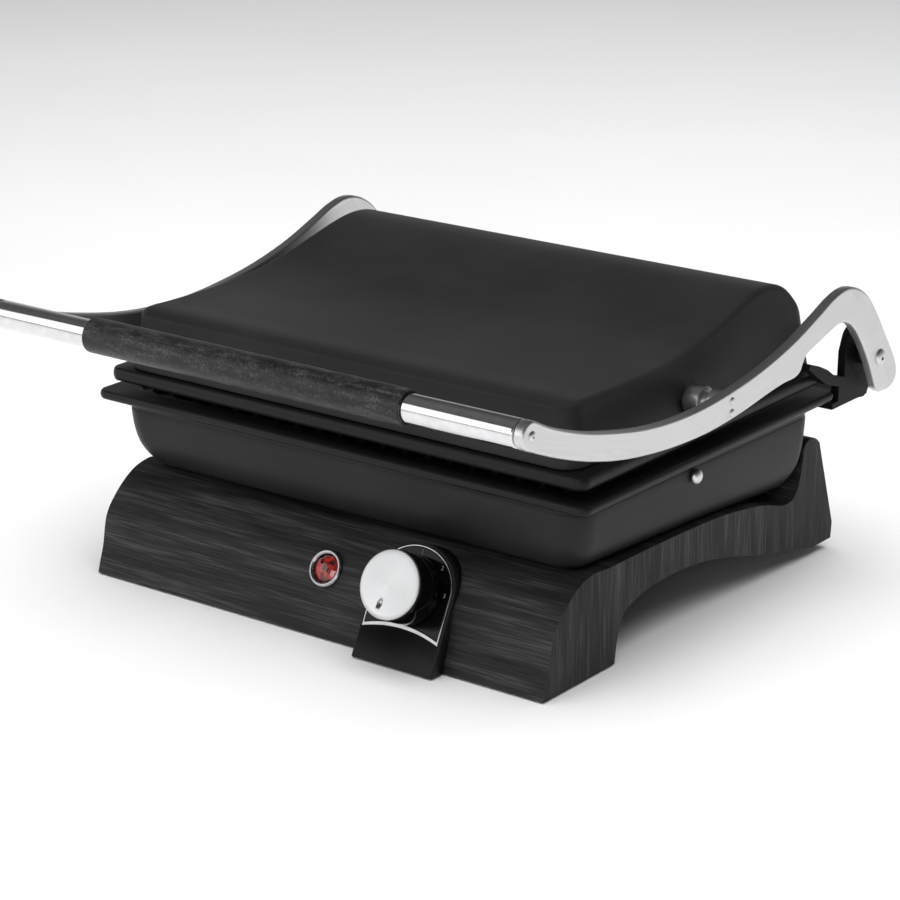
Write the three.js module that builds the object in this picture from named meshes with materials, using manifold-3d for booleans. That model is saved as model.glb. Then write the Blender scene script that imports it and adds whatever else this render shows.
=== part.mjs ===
// Panini press: a floating grill lid carried by two steel arms over a lower grill housing and a base.
// Millimetres, +Z up, -Y towards the user, X = 0 on the centre plane.
// Heights start at the table and Y = 0 is the front edge of the base, until the last step
// moves the origin to the middle of the whole press.
import * as THREE from 'three';
import { mergeVertices } from 'three/addons/utils/BufferGeometryUtils.js';
import Module from 'manifold-3d';

const wasm = await Module();
wasm.setup();

// ---------------------------------------------------------------- driving dimensions
const GAP = 0.3;                 // air between two pieces that touch
const SEGMENTS = 16;             // sides of a round piece

const BASE_HALF = 162.5;         // half width of the base
const BASE_WALL = 2.6;
const SOLE_Z = 1;                // the feet hold the front of the base this far off the table
const REAR_SOLE_Z = 6;
const TUB = { half: 166, front: 26.6, rear: 274, corner: 17, top: 102.6, bottom: 60, wall: 2.4 };
const LOWER_FLANGE = { half: 176, front: 17.5, rear: 280, corner: 7, bottom: 103, top: 108.5 };
const UPPER_FLANGE = { half: 170.5, front: 23.5, rear: 277, corner: 7, bottom: 114, top: 122 };
const LID = { half: 161, front: 27.5, rear: 279, corner: 13, bottom: 122.4, wall: 2.4 };
const RIB = { count: 20, width: 4, height: 2, margin: 16 };

const ARM_IN = 182;              // inner face of an arm
const ARM_OUT = 188.5;           // outer face of an arm
const HANDLE = { y: -49, z: 169, rodRadius: 8, gripRadius: 10, gripHalf: 110.9, screwHole: 2.3 };
const HINGE = { y: 307, z: 124.8 };
const LID_PIN = { y: 141, z: 136 };
const BRACKET_IN = 170.6;        // inner face of a hinge bracket
const BRACKET_OUT = 176;         // outer face of a hinge bracket

const PANEL = { x: 67.5, footY: -11, tilt: THREE.MathUtils.degToRad(26), half: 28, height: 71.5 };
const KNOB = { x: 67.5, along: 44.2, body: 19.6, cap: 21, lift: 1 };
const LAMP = { x: 4.8, y: 11.6, z: 38, tilt: THREE.MathUtils.degToRad(30), bezel: 11, lens: 8 };

const ORIGIN_Y = 135;            // middle of the press, half way from grip to arm ends

// ---------------------------------------------------------------- finishes
const finish = (color, roughness, metalness) => ({ color, roughness, metalness });
const GRAINED_BLACK = finish(0x343434, 0.5, 0);
const SATIN_BLACK = finish(0x2f2f2f, 0.45, 0.1);
const GLOSS_BLACK = finish(0x0c0c0d, 0.12, 0);
const NON_STICK = finish(0x1a1a1b, 0.4, 0.2);
const BRUSHED_STEEL = finish(0xc4c4c4, 0.35, 1);
const CHROME = finish(0xe8e8ea, 0.08, 1);
const ALUMINIUM = finish(0xd6d7d9, 0.3, 1);
const HEATER_STEEL = finish(0x6f6a66, 0.5, 1);
const RED_LENS = finish(0x8c1414, 0.15, 0);
const RUBBER = finish(0x151515, 0.8, 0);
const WHITE_NYLON = finish(0xd9d6cc, 0.5, 0);
const DARK_PLASTIC = finish(0x202122, 0.5, 0);

// ---------------------------------------------------------------- tools
const model = new THREE.Group();
model.position.y = -ORIGIN_Y;

function toSolid(geometry) {
  const bare = geometry.clone();
  bare.deleteAttribute('normal');
  bare.deleteAttribute('uv');
  const merged = mergeVertices(bare, 1e-4);
  return new wasm.Manifold(new wasm.Mesh({
    numProp: 3,
    vertProperties: merged.attributes.position.array,
    triVerts: new Uint32Array(merged.index.array),
  }));
}

function toGeometry(solid) {
  const mesh = solid.getMesh();
  const geometry = new THREE.BufferGeometry();
  geometry.setAttribute('position', new THREE.BufferAttribute(mesh.vertProperties, 3));
  geometry.setIndex(new THREE.BufferAttribute(mesh.triVerts, 1));
  geometry.computeVertexNormals();
  return geometry;
}

// Adds one named piece to the press.
function piece(name, shape, look) {
  const geometry = shape.isBufferGeometry ? shape : toGeometry(shape);
  const mesh = new THREE.Mesh(geometry, new THREE.MeshStandardMaterial(look));
  mesh.name = name;
  model.add(mesh);
}

// Two matching pieces, left (-X) and right (+X); make(side) gives the shape for side -1 or 1.
function pair(name, make, look) {
  piece(`${name}_left`, make(-1), look);
  piece(`${name}_right`, make(1), look);
}

function box(x0, x1, y0, y1, z0, z1) {
  const geometry = new THREE.BoxGeometry(x1 - x0, y1 - y0, z1 - z0);
  geometry.translate((x0 + x1) / 2, (y0 + y1) / 2, (z0 + z1) / 2);
  return toSolid(geometry);
}

// Solid of revolution about an axis from `start` in direction `axis`; profile is [radius, distance].
function turned(profile, start, axis, segments = SEGMENTS) {
  const points = profile.map(([radius, along]) => new THREE.Vector2(radius, along));
  const geometry = new THREE.LatheGeometry(points, segments);
  const turn = new THREE.Quaternion().setFromUnitVectors(new THREE.Vector3(0, 1, 0), axis);
  geometry.applyQuaternion(turn);
  geometry.translate(start.x, start.y, start.z);
  return toSolid(geometry);
}

function pin(radius, length, start, axis, segments = SEGMENTS) {
  return turned([[0, 0], [radius, 0], [radius, length], [0, length]], start, axis, segments);
}

// A plain pin along X from x0 to x1, whichever side of the press it is on.
function crossPin(radius, x0, x1, y, z, segments = SEGMENTS) {
  const start = new THREE.Vector3(Math.min(x0, x1), y, z);
  return pin(radius, Math.abs(x1 - x0), start, new THREE.Vector3(1, 0, 0), segments);
}

// Outline [[y, z], ...] in the side view, extruded across the press from x0 to x1.
function acrossX(outline, x0, x1) {
  const shape = new THREE.Shape(outline.map(([y, z]) => new THREE.Vector2(y, z)));
  const depth = Math.abs(x1 - x0);
  const geometry = new THREE.ExtrudeGeometry(shape, { depth, bevelEnabled: false });
  const swap = new THREE.Matrix4().makeBasis(
    new THREE.Vector3(0, 1, 0), new THREE.Vector3(0, 0, 1), new THREE.Vector3(1, 0, 0));
  geometry.applyMatrix4(swap);
  geometry.translate(Math.min(x0, x1), 0, 0);
  return toSolid(geometry);
}

// Smooth run of points through a few hand-set ones.
function curve(points, steps) {
  const spline = new THREE.SplineCurve(points.map(([y, z]) => new THREE.Vector2(y, z)));
  return spline.getPoints(steps).map((p) => [p.x, p.y]);
}

// Outline moved sideways by `distance`: to the left of its direction of travel when positive.
function offset(path, distance) {
  return path.map((point, i) => {
    const before = path[Math.max(i - 1, 0)];
    const after = path[Math.min(i + 1, path.length - 1)];
    const direction = new THREE.Vector2(after[0] - before[0], after[1] - before[1]).normalize();
    return [point[0] - direction.y * distance, point[1] + direction.x * distance];
  });
}

function arc(centreY, centreZ, radius, fromDegrees, toDegrees, steps) {
  return Array.from({ length: steps + 1 }, (_, i) => {
    const angle = THREE.MathUtils.degToRad(fromDegrees + (toDegrees - fromDegrees) * i / steps);
    return [centreY + radius * Math.cos(angle), centreZ + radius * Math.sin(angle)];
  });
}

// Rounded rectangle seen from above, counter-clockwise.
function roundedRing({ half, front, rear, corner }, steps = 5) {
  const corners = [
    [half - corner, rear - corner, 0], [-half + corner, rear - corner, 90],
    [-half + corner, front + corner, 180], [half - corner, front + corner, 270]];
  return corners.flatMap(([x, y, from]) => arc(x, y, corner, from, from + 90, steps));
}

// Closed body through rounded rectangles stacked upwards; each level has z, half, front, rear, corner
// and may have `drop`, by which its rear end is lower than its front end.
function loft(levels) {
  const rings = levels.map((level) => roundedRing(level));
  const count = rings[0].length;
  const heightAt = ({ z, drop = 0, front, rear }, y) => z - drop * (y - front) / (rear - front);
  const vertices = rings.flatMap((ring, i) => ring.map(([x, y]) => [x, y, heightAt(levels[i], y)]));
  const middle = (level) => [0, (level.front + level.rear) / 2, level.z - (level.drop ?? 0) / 2];
  vertices.push(middle(levels[0]), middle(levels[levels.length - 1]));
  const faces = [];
  const floor = vertices.length - 2;
  const lastRing = (rings.length - 1) * count;
  for (let i = 0; i < count; i += 1) {
    const next = (i + 1) % count;
    for (let row = 0; row < lastRing; row += count) {
      faces.push(row + i, row + next, row + count + next);
      faces.push(row + i, row + count + next, row + count + i);
    }
    faces.push(floor, next, i);
    faces.push(floor + 1, lastRing + i, lastRing + next);
  }
  const geometry = new THREE.BufferGeometry();
  const positions = new Float32Array(vertices.flat());
  geometry.setAttribute('position', new THREE.BufferAttribute(positions, 3));
  geometry.setIndex(faces);
  return toSolid(geometry);
}

// The same level grown outwards by `by`, or shrunk when negative.
function grown(level, by) {
  return {
    ...level,
    half: level.half + by,
    front: level.front - by,
    rear: level.rear + by,
    corner: Math.max(level.corner + by, 1),
  };
}

const slab = (level, bottom, top) => loft([{ ...level, z: bottom }, { ...level, z: top }]);

// ---------------------------------------------------------------- lower housing (tub)
// How far the wall has come in at each height below the rim, and how much lower the rear end is.
const TUB_LEVELS = [
  { z: TUB.bottom, in: 21, drop: 14 }, { z: 62.5, in: 14, drop: 14 }, { z: 68, in: 8, drop: 14 },
  { z: 76, in: 3.6, drop: 13 }, { z: 85, in: 1.4, drop: 10 }, { z: 94, in: 0.4, drop: 5 },
  { z: TUB.top, in: 0, drop: 0 }];

function tubLevels(growth) {
  return TUB_LEVELS.map((level) => ({
    ...grown(TUB, growth - level.in),
    corner: TUB.corner - level.in / 4,
    z: level.z,
    drop: level.drop,
  }));
}

const tubOutside = () => loft(tubLevels(0));

function tubInside() {
  const levels = tubLevels(-TUB.wall);
  levels[0].z += TUB.wall;
  levels[levels.length - 1].z += 1;
  return loft(levels);
}

// ---------------------------------------------------------------- base
const FRONT_FACE = curve(
  [[0, SOLE_Z], [2, 8], [5, 17], [9, 35], [18, 46.5], [29, 55], [38, 59], [47, 60.6]], 22);
const CRADLE = curve([[62, 59.4], [110, 59], [174, 56.5], [218, 50.5], [244, 43.5], [256, 43.5]], 14);
const TAIL = curve([[262, 50], [265.5, 62], [267, 72], [271, 76.4], [279, 76.4], [285, 72]], 10);
const UNDERSIDE = [[282, REAR_SOLE_Z], ...curve([
  [221, 19], [186, 28.5], [154, 34.5], [125, 36.4], [97, 35], [79, 29.5], [71.5, 20], [68, SOLE_Z]],
20)];
const REAR_WALL = [[304, 16], [303, REAR_SOLE_Z]];

function baseSolid() {
  return acrossX([...FRONT_FACE, ...CRADLE, ...TAIL, ...REAR_WALL, ...UNDERSIDE].reverse(),
    -BASE_HALF, BASE_HALF);
}

// Hollow of the base, open at the bottom; it stays clear of the solid tail.
function baseCavity() {
  const top = offset([...FRONT_FACE, ...CRADLE.slice(0, -3)], -BASE_WALL);
  const below = -5;
  const outline = [[BASE_WALL, below], ...top, [246, 36], [290, 36], [298, 16], [299.5, below]];
  const inside = BASE_HALF - BASE_WALL;
  return acrossX(outline.reverse(), -inside, inside);
}

const panelNormal = new THREE.Vector3(0, -Math.cos(PANEL.tilt), Math.sin(PANEL.tilt));
// Point on the sloping panel, `along` up its face and `out` in front of it.
function panelPoint(x, along, out) {
  const up = new THREE.Vector3(0, Math.sin(PANEL.tilt), Math.cos(PANEL.tilt));
  return new THREE.Vector3(x, PANEL.footY, SOLE_Z)
    .addScaledVector(up, along).addScaledVector(panelNormal, out);
}

const lampNormal = new THREE.Vector3(0, -Math.cos(LAMP.tilt), Math.sin(LAMP.tilt));
const lampPoint = (out) => new THREE.Vector3(LAMP.x, LAMP.y, LAMP.z).addScaledVector(lampNormal, out);

const FEET = [
  { name: 'foot_front_left', x: -138, y: 34, radius: 7, sole: SOLE_Z },
  { name: 'foot_front_right', x: 138, y: 34, radius: 7, sole: SOLE_Z },
  { name: 'foot_rear_left', x: -138, y: 291, radius: 4.5, sole: REAR_SOLE_Z },
  { name: 'foot_rear_right', x: 138, y: 291, radius: 4.5, sole: REAR_SOLE_Z }];
const COVER_SCREWS = [
  { name: 'cover_screw_front_left', x: -95, y: 45 },
  { name: 'cover_screw_front_right', x: 105, y: 45 }];
const COVER_THICK = 2.4;
const COVER_REAR = 298.4;
const COVER_HOLE = 2.6;
const TUB_CLEARANCE = 0.5;
const SHAFT_RADIUS = 3;
const GLAND = { x: 90, z: 20, radius: 7 };
const WIRE_HOLE = { x: 20, y: 120, radius: 8 };
const UP = new THREE.Vector3(0, 0, 1);
const BACK = new THREE.Vector3(0, 1, 0);

function baseHousing() {
  const inwards = panelNormal.clone().negate();
  const knobHole = pin(SHAFT_RADIUS + 1, 60, panelPoint(KNOB.x, KNOB.along, 5), inwards);
  const lampHole = pin(LAMP.lens, 20, lampPoint(8), lampNormal.clone().negate());
  const pocket = tubLevels(TUB_CLEARANCE).map((level) => ({ ...level, z: level.z - TUB_CLEARANCE }));
  const wireHole = pin(WIRE_HOLE.radius, 30, new THREE.Vector3(WIRE_HOLE.x, WIRE_HOLE.y, 40), UP);
  const glandHole = pin(GLAND.radius, 20, new THREE.Vector3(GLAND.x, 290, GLAND.z), BACK);
  return baseSolid()
    .subtract(baseCavity())
    .subtract(loft(pocket))
    .subtract(knobHole)
    .subtract(lampHole)
    .subtract(wireHole)
    .subtract(glandHole);
}

function baseCover() {
  const under = [[COVER_REAR, REAR_SOLE_Z], ...UNDERSIDE, [BASE_WALL + 1.4, SOLE_Z]];
  const over = under.map(([y, z]) => [y, z + COVER_THICK]);
  over[over.length - 2] = [68 - COVER_THICK, SOLE_Z + COVER_THICK];
  const side = BASE_HALF - BASE_WALL - GAP;
  let cover = acrossX([...under, ...over.reverse()], -side, side);
  for (const foot of FEET) {
    cover = cover.subtract(pin(foot.radius + GAP, 15, new THREE.Vector3(foot.x, foot.y, -2), UP));
  }
  for (const screw of COVER_SCREWS) {
    cover = cover.subtract(pin(COVER_HOLE, 10, new THREE.Vector3(screw.x, screw.y, -2), UP));
  }
  return cover;
}

piece('base_housing', baseHousing(), GRAINED_BLACK);
piece('base_cover', baseCover(), DARK_PLASTIC);

for (const { name, x, y, radius, sole } of FEET) {
  const head = radius + 2;
  const ledge = sole + COVER_THICK + GAP;
  const crown = ledge + 1.5;
  const profile = [[0, 0], [radius, 0], [radius, ledge], [head, ledge], [head, crown], [0, crown]];
  piece(name, turned(profile, new THREE.Vector3(x, y, 0), UP), RUBBER);
}
for (const { name, x, y } of COVER_SCREWS) {
  const profile = [[0, 0], [2, 0], [2, 16], [0, 16]];
  const head = pin(4, 1.2, new THREE.Vector3(x, y, SOLE_Z + COVER_THICK + GAP), UP, 12);
  piece(name, turned(profile, new THREE.Vector3(x, y, SOLE_Z + 0.4), UP, 12).add(head), CHROME);
}

// Profile of a cord gland: a body through a wall and a tapered collar outside it.
const gland = (collar, body, bore, wall) => [
  [bore, 0], [body, 0], [body, wall], [collar, wall], [collar, wall + 2],
  [body - 1, wall + 5], [bore, wall + 5]];
const closed = (profile) => [...profile, profile[0]];

piece('cord_gland', turned(closed(gland(9, GLAND.radius - GAP, 3.4, 8)),
  new THREE.Vector3(GLAND.x, 296.5, GLAND.z), BACK), RUBBER);
piece('terminal_block', box(-45, -12, 30, 44, 3.8, 15), WHITE_NYLON);
const bushBody = WIRE_HOLE.radius - 0.4;
piece('wire_bush', turned(
  closed([[5, 50], [bushBody, 50], [bushBody, 58.4], [10, 58.4], [10, 60], [5, 60]]),
  new THREE.Vector3(WIRE_HOLE.x, WIRE_HOLE.y, 0), UP), WHITE_NYLON);

// ---------------------------------------------------------------- control panel
// Shield outline on the panel's own face: u across, v up, drawn in by `inset` with a bowed foot line.
function shield(inset, foot, bow) {
  const half = PANEL.half - inset;
  const shoulder = 46;
  const rise = PANEL.height - shoulder - inset;
  const arch = Array.from({ length: 17 }, (_, i) => {
    const angle = Math.PI * i / 16;
    return [half * Math.cos(angle), shoulder + rise * Math.sin(angle)];
  });
  const footLine = Array.from({ length: 9 }, (_, i) => {
    const u = -1 + i / 4;
    return [half * u, foot + bow * (1 - u * u)];
  });
  return [...arch, ...footLine];
}

// Outline on the panel face, extruded from `back` to `front` along the panel's normal.
function onPanel(outline, back, front) {
  const shape = new THREE.Shape(outline.map(([u, v]) => new THREE.Vector2(u, v)));
  const geometry = new THREE.ExtrudeGeometry(shape, { depth: front - back, bevelEnabled: false });
  geometry.translate(0, 0, back);
  const up = new THREE.Vector3(0, Math.sin(PANEL.tilt), Math.cos(PANEL.tilt));
  geometry.applyMatrix4(new THREE.Matrix4().makeBasis(new THREE.Vector3(1, 0, 0), up, panelNormal));
  geometry.translate(PANEL.x, PANEL.footY, SOLE_Z);
  return toSolid(geometry);
}

// Everything behind the front face of the base, with a little air.
const behindFront = () => acrossX(
  [...offset(FRONT_FACE, GAP), [70, 60.9], [70, -10], [-GAP, -10]].reverse(), -BASE_HALF, BASE_HALF);

const BORDER = 1.4;              // plastic left outside the recess
const TRIM_WIDTH = 2;
const TRIM_FOOT = { v: 17.8, bow: 4.2 };
const RECESS = 1.5;
// Outline inside the border, drawn in by a further `inset` all round.
const inRecess = (inset) => shield(BORDER + inset, TRIM_FOOT.v + inset, TRIM_FOOT.bow);

function shaftHole() {
  const start = panelPoint(KNOB.x, KNOB.along, 10);
  return pin(SHAFT_RADIUS + 0.6, 60, start, panelNormal.clone().negate());
}

piece('control_panel', onPanel(shield(0, 0, 0), -35, 0)
  .intersect(box(0, BASE_HALF, -40, 60, SOLE_Z, 90))
  .subtract(behindFront())
  .subtract(onPanel(inRecess(0), -RECESS, 5))
  .subtract(shaftHole()), DARK_PLASTIC);
piece('panel_trim', onPanel(inRecess(GAP), GAP - RECESS, GAP)
  .subtract(onPanel(inRecess(TRIM_WIDTH), -5, 5)), CHROME);
piece('panel_face', onPanel(inRecess(TRIM_WIDTH + GAP), GAP - RECESS, -0.1)
  .subtract(shaftHole()), GLOSS_BLACK);

// ---------------------------------------------------------------- knob and thermostat
const KNOB_PROFILE = [
  [0, 0], [19, 0], [20, 1], [19.8, 18.6], [19, KNOB.body], [0, KNOB.body]];
const CAP_PROFILE = [
  [0, KNOB.body + GAP], [19.8, KNOB.body + GAP], [19.8, 20.6], [19.2, KNOB.cap], [0, KNOB.cap + 0.3]];
const DIMPLE = { radius: 1.6, reach: 11.2, angle: THREE.MathUtils.degToRad(-104), depth: 0.8 };
const THERMOSTAT = { radius: 12, length: 14, front: -22, socket: 2 };
const knobTurned = (profile, segments) => turned(
  profile, panelPoint(KNOB.x, KNOB.along, KNOB.lift), panelNormal, segments);
const knobSocket = pin(SHAFT_RADIUS + GAP, 12, panelPoint(KNOB.x, KNOB.along, 0), panelNormal);
const dimpleStart = panelPoint(
  KNOB.x + DIMPLE.reach * Math.cos(DIMPLE.angle),
  KNOB.along + DIMPLE.reach * Math.sin(DIMPLE.angle),
  KNOB.lift + KNOB.cap - DIMPLE.depth);
const shaftFoot = THERMOSTAT.front - THERMOSTAT.socket;

piece('temperature_knob', knobTurned(KNOB_PROFILE, 24).subtract(knobSocket), GLOSS_BLACK);
piece('knob_cap', knobTurned(CAP_PROFILE, 24)
  .subtract(pin(DIMPLE.radius, 5, dimpleStart, panelNormal, 12)), ALUMINIUM);
piece('thermostat_shaft', pin(SHAFT_RADIUS, 11 - shaftFoot,
  panelPoint(KNOB.x, KNOB.along, shaftFoot), panelNormal), BRUSHED_STEEL);
piece('thermostat', pin(THERMOSTAT.radius, THERMOSTAT.length,
  panelPoint(KNOB.x, KNOB.along, THERMOSTAT.front - THERMOSTAT.length), panelNormal)
  .subtract(pin(SHAFT_RADIUS + GAP, 20,
    panelPoint(KNOB.x, KNOB.along, shaftFoot - GAP), panelNormal)), WHITE_NYLON);

// ---------------------------------------------------------------- pilot lamp
const lampTurned = (profile) => turned(profile, lampPoint(0), lampNormal);
const lampBore = LAMP.lens + GAP;
piece('lamp_bezel', lampTurned(closed([
  [lampBore, -3], [LAMP.bezel, -3], [LAMP.bezel, 1.6], [10.2, 2.9], [9, 2.9], [lampBore, 1.8]]))
  .subtract(behindFront()), CHROME);
piece('lamp_lens', lampTurned([[0, -1], [7.7, -1], [7.7, 1.8], [6.5, 3], [4, 3.9], [0, 4.3]]), RED_LENS);
piece('lamp_holder', lampTurned([[0, -14], [7.5, -14], [7.5, -1 - GAP], [0, -1 - GAP]]), WHITE_NYLON);

// ---------------------------------------------------------------- lower grill
const STUD = { y: 140, z: 91.5, radius: 4.5 };
const LEAD_X = -60;
const TUB_LEAD = { y: 274.4, z: 86 };
const leadHole = (y, z) => pin(4.6, 16, new THREE.Vector3(LEAD_X, y - 10, z), BACK);

piece('lower_housing', tubOutside()
  .subtract(tubInside())
  .subtract(pin(WIRE_HOLE.radius, 20, new THREE.Vector3(WIRE_HOLE.x, WIRE_HOLE.y, 45), UP))
  .subtract(crossPin(2.5, -200, 200, STUD.y, STUD.z))
  .subtract(leadHole(TUB_LEAD.y, TUB_LEAD.z)), SATIN_BLACK);
pair('side_stud', (side) => turned(
  [[0, 0], [2.2, 0], [2.2, 9], [STUD.radius, 9], [STUD.radius, 10.6], [3.2, 12.2], [0, 12.8]],
  new THREE.Vector3(side * 157.4, STUD.y, STUD.z), new THREE.Vector3(side, 0, 0)), CHROME);
piece('lower_lead_gland', turned(closed(gland(7.4, 4.3, 2.4, 6)),
  new THREE.Vector3(LEAD_X, TUB_LEAD.y - 6, TUB_LEAD.z), BACK), RUBBER);

// Grill plate: flange, body set into the housing, sunk cooking face and ribs from front to back.
// `up` is 1 for the lower plate, whose face looks up, and -1 for the upper one.
function grillPlate(flange, up) {
  const face = up > 0 ? flange.top : flange.bottom;
  const back = up > 0 ? flange.bottom : flange.top;
  const layer = (level, from, to) => slab(level, Math.min(from, to), Math.max(from, to));
  const well = grown(flange, -RIB.margin);
  let plate = layer(flange, face, back)
    .add(layer({ ...grown(flange, 3 - RIB.margin), corner: flange.corner + 8 }, back + up, back - up * 3.5))
    .subtract(layer(well, face + up, face - up * RIB.height));
  const span = 2 * (well.half - 4);
  for (let i = 0; i < RIB.count; i += 1) {
    const x = -span / 2 + span * (i + 0.5) / RIB.count;
    const low = face - up * (RIB.height + 1);
    plate = plate.add(box(x - RIB.width / 2, x + RIB.width / 2, well.front + 6, well.rear - 6,
      Math.min(low, face), Math.max(low, face)));
  }
  return plate;
}

const HEATER_RADIUS = 3.3;
// Right half of the element's route, from the middle round to its cold end; the left half mirrors it.
const HEATER_HALF = [
  [20, 190], [46, 170], [52, 90], [72, 58], [104, 58], [122, 90], [122, 200], [112, 240], [40, 246]];
const HEATER_ROUTE = [...HEATER_HALF.map(([x, y]) => [-x, y]).reverse(), ...HEATER_HALF];

function heater(z) {
  const route = new THREE.CatmullRomCurve3(HEATER_ROUTE.map(([x, y]) => new THREE.Vector3(x, y, z)));
  const section = new THREE.Shape().absarc(0, 0, HEATER_RADIUS, 0, 2 * Math.PI);
  return toSolid(new THREE.ExtrudeGeometry(section, {
    steps: 44, curveSegments: 4, bevelEnabled: false, extrudePath: route }));
}

// Shallow sheet tray; `up` is 1 when it opens upwards.
function tray(level, z, up) {
  const low = Math.min(z, z + up * 8);
  const inner = up > 0 ? low + 1 : low - 1;
  return slab(level, low, low + 8).subtract(slab(grown(level, -1), inner, inner + 8));
}

piece('lower_plate', grillPlate(LOWER_FLANGE, 1), NON_STICK);
piece('lower_heater', heater(LOWER_FLANGE.bottom - 3.5 - GAP - HEATER_RADIUS), HEATER_STEEL);
piece('lower_reflector', tray({ half: 148, front: 42, rear: 258, corner: 20 }, 82, 1), ALUMINIUM);

// ---------------------------------------------------------------- lid
const LID_TOP = curve([
  [27.5, 146], [29.8, 152.5], [35, 156.4], [44, 158], [65, 157.3], [106, 157.2], [143, 160],
  [172, 165.5], [192, 170.5], [212, 175.5], [228, 178], [243, 177.2], [254, 173.5],
  [262, 166.5], [269, 157], [273, 146]], 44);
const LID_LEVELS = [{ z: LID.bottom, in: 0 }, { z: 140, in: 3 }, { z: 182, in: 9 }];
const lidLevels = (growth) => LID_LEVELS.map(
  (level) => ({ ...grown(LID, growth - level.in), z: level.z }));
const LID_LEAD = { y: 279, z: 132 };

function lidHousing() {
  const rim = [[284, LID.bottom - 1], [20, LID.bottom - 1]];
  const over = [...LID_TOP, [283, 124], ...rim, [20, 146]];
  const under = [...offset(LID_TOP, -LID.wall), [279.5, 124], [280, 110], [20, 110], [20, 143]];
  const outside = acrossX(over.reverse(), -LID.half, LID.half);
  const inside = acrossX(under.reverse(), -LID.half, LID.half);
  const hollow = lidLevels(-LID.wall);
  hollow[0].z -= 2;
  return loft(lidLevels(0))
    .intersect(outside)
    .subtract(loft(hollow).intersect(inside))
    .subtract(crossPin(4.4, -200, 200, LID_PIN.y, LID_PIN.z))
    .subtract(leadHole(LID_LEAD.y, LID_LEAD.z));
}

piece('lid_housing', lidHousing(), SATIN_BLACK);
piece('upper_plate', grillPlate(UPPER_FLANGE, -1), NON_STICK);
piece('upper_heater', heater(UPPER_FLANGE.top + 3.5 + GAP + HEATER_RADIUS), HEATER_STEEL);
piece('upper_reflector', tray({ half: 138, front: 44, rear: 258, corner: 20 }, 144, -1), ALUMINIUM);
piece('upper_lead_gland', turned(closed(gland(6, 4.3, 2.4, 6)),
  new THREE.Vector3(LEAD_X, LID_LEAD.y - 6, LID_LEAD.z), BACK), RUBBER);
pair('lid_bush', (side) => turned(closed([[4.4, 0], [7, 0], [7, 6], [4.4, 6]]),
  new THREE.Vector3(side * 148.6, LID_PIN.y, LID_PIN.z), new THREE.Vector3(side, 0, 0)), WHITE_NYLON);

// ---------------------------------------------------------------- arms
// Upper and lower edges of an arm in the side view. The bar widens behind the lid pin, and has
// a small lug under it where it rests in the hook of its hinge bracket.
const ARM_TOP = curve([
  [-45.5, 176.2], [-28.7, 168.2], [-1.9, 158.8], [25.6, 151.8], [53.9, 146.3], [83, 143.3],
  [112, 143], [143.3, 145.5], [174.6, 150.2], [206.4, 158], [232.8, 167.4], [249, 173.6],
  [263, 176.3], [276, 174.2], [288.9, 167.2], [300.2, 155.4], [312.2, 139.3], [324, 123]], 44);
const ARM_TIP = curve([[327.7, 116.5], [329, 110], [326, 104.5], [319, 102], [309.5, 102.4]], 8);
const ARM_UNDER = curve([
  [304.5, 105.5], [295.4, 123.2], [283.6, 140.7], [272.4, 152], [260.7, 156.4], [248, 154.6],
  [235.2, 150.8], [222, 147], [217.5, 142.5], [214.5, 138], [208.5, 135.8], [197.2, 135.5],
  [181, 133.8], [149.4, 129.3], [118.6, 127], [88.4, 127.5], [59.1, 130], [30.5, 134.5],
  [2.6, 141.4], [-24.4, 150.3], [-46, 159]], 56);
const RIVETS = [{ name: 'lower', z: LID_PIN.z - 3.4 }, { name: 'upper', z: LID_PIN.z + 3.4 }];
const RIVET_HOLE = 1.7;

function arm(side) {
  const nose = arc(HANDLE.y, HANDLE.z, HANDLE.rodRadius, 258, 70, 10);
  const outline = [...nose, ...ARM_TOP, ...ARM_TIP, ...ARM_UNDER].reverse();
  const cut = (radius, y, z) => crossPin(radius, side * 180, side * 195, y, z);
  let plate = acrossX(outline, side * ARM_IN, side * ARM_OUT)
    .subtract(cut(3, HINGE.y, HINGE.z))
    .subtract(cut(HANDLE.screwHole, HANDLE.y, HANDLE.z));
  for (const { z } of RIVETS) plate = plate.subtract(cut(RIVET_HOLE, LID_PIN.y, z));
  return plate;
}

pair('arm', arm, BRUSHED_STEEL);

// Screw or rivet put in from outside an arm: domed head, then a shank reaching inwards to x = tip.
function armFastener(side, y, z, head, height, shank, tip) {
  const outward = new THREE.Vector3(side, 0, 0);
  const length = ARM_OUT + GAP - tip;
  return turned([[0, 0], [shank, 0], [shank, length], [head, length], [head * 0.9, length + height * 0.6],
    [head * 0.5, length + height], [0, length + height]], new THREE.Vector3(side * tip, y, z), outward, 16);
}

// Spool between lid and arm: a pin into the lid's bush, a wide collar and a seat riveted to the arm.
const PIVOT = { pin: 4, pinEnd: 148.2, collar: 8.6, collarIn: 161, collarOut: 171 };
const PIVOT_SEAT = { radius: 8.2, waist: 5, from: 175.4 };
const pivotProfile = [
  [0, PIVOT.pinEnd], [PIVOT.pin, PIVOT.pinEnd], [PIVOT.pin, PIVOT.collarIn],
  [PIVOT.collar, PIVOT.collarIn], [PIVOT.collar, PIVOT.collarOut],
  [PIVOT_SEAT.waist, PIVOT.collarOut], [PIVOT_SEAT.waist, PIVOT_SEAT.from],
  [PIVOT_SEAT.radius, PIVOT_SEAT.from], [PIVOT_SEAT.radius, ARM_IN - GAP], [0, ARM_IN - GAP]];

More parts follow.
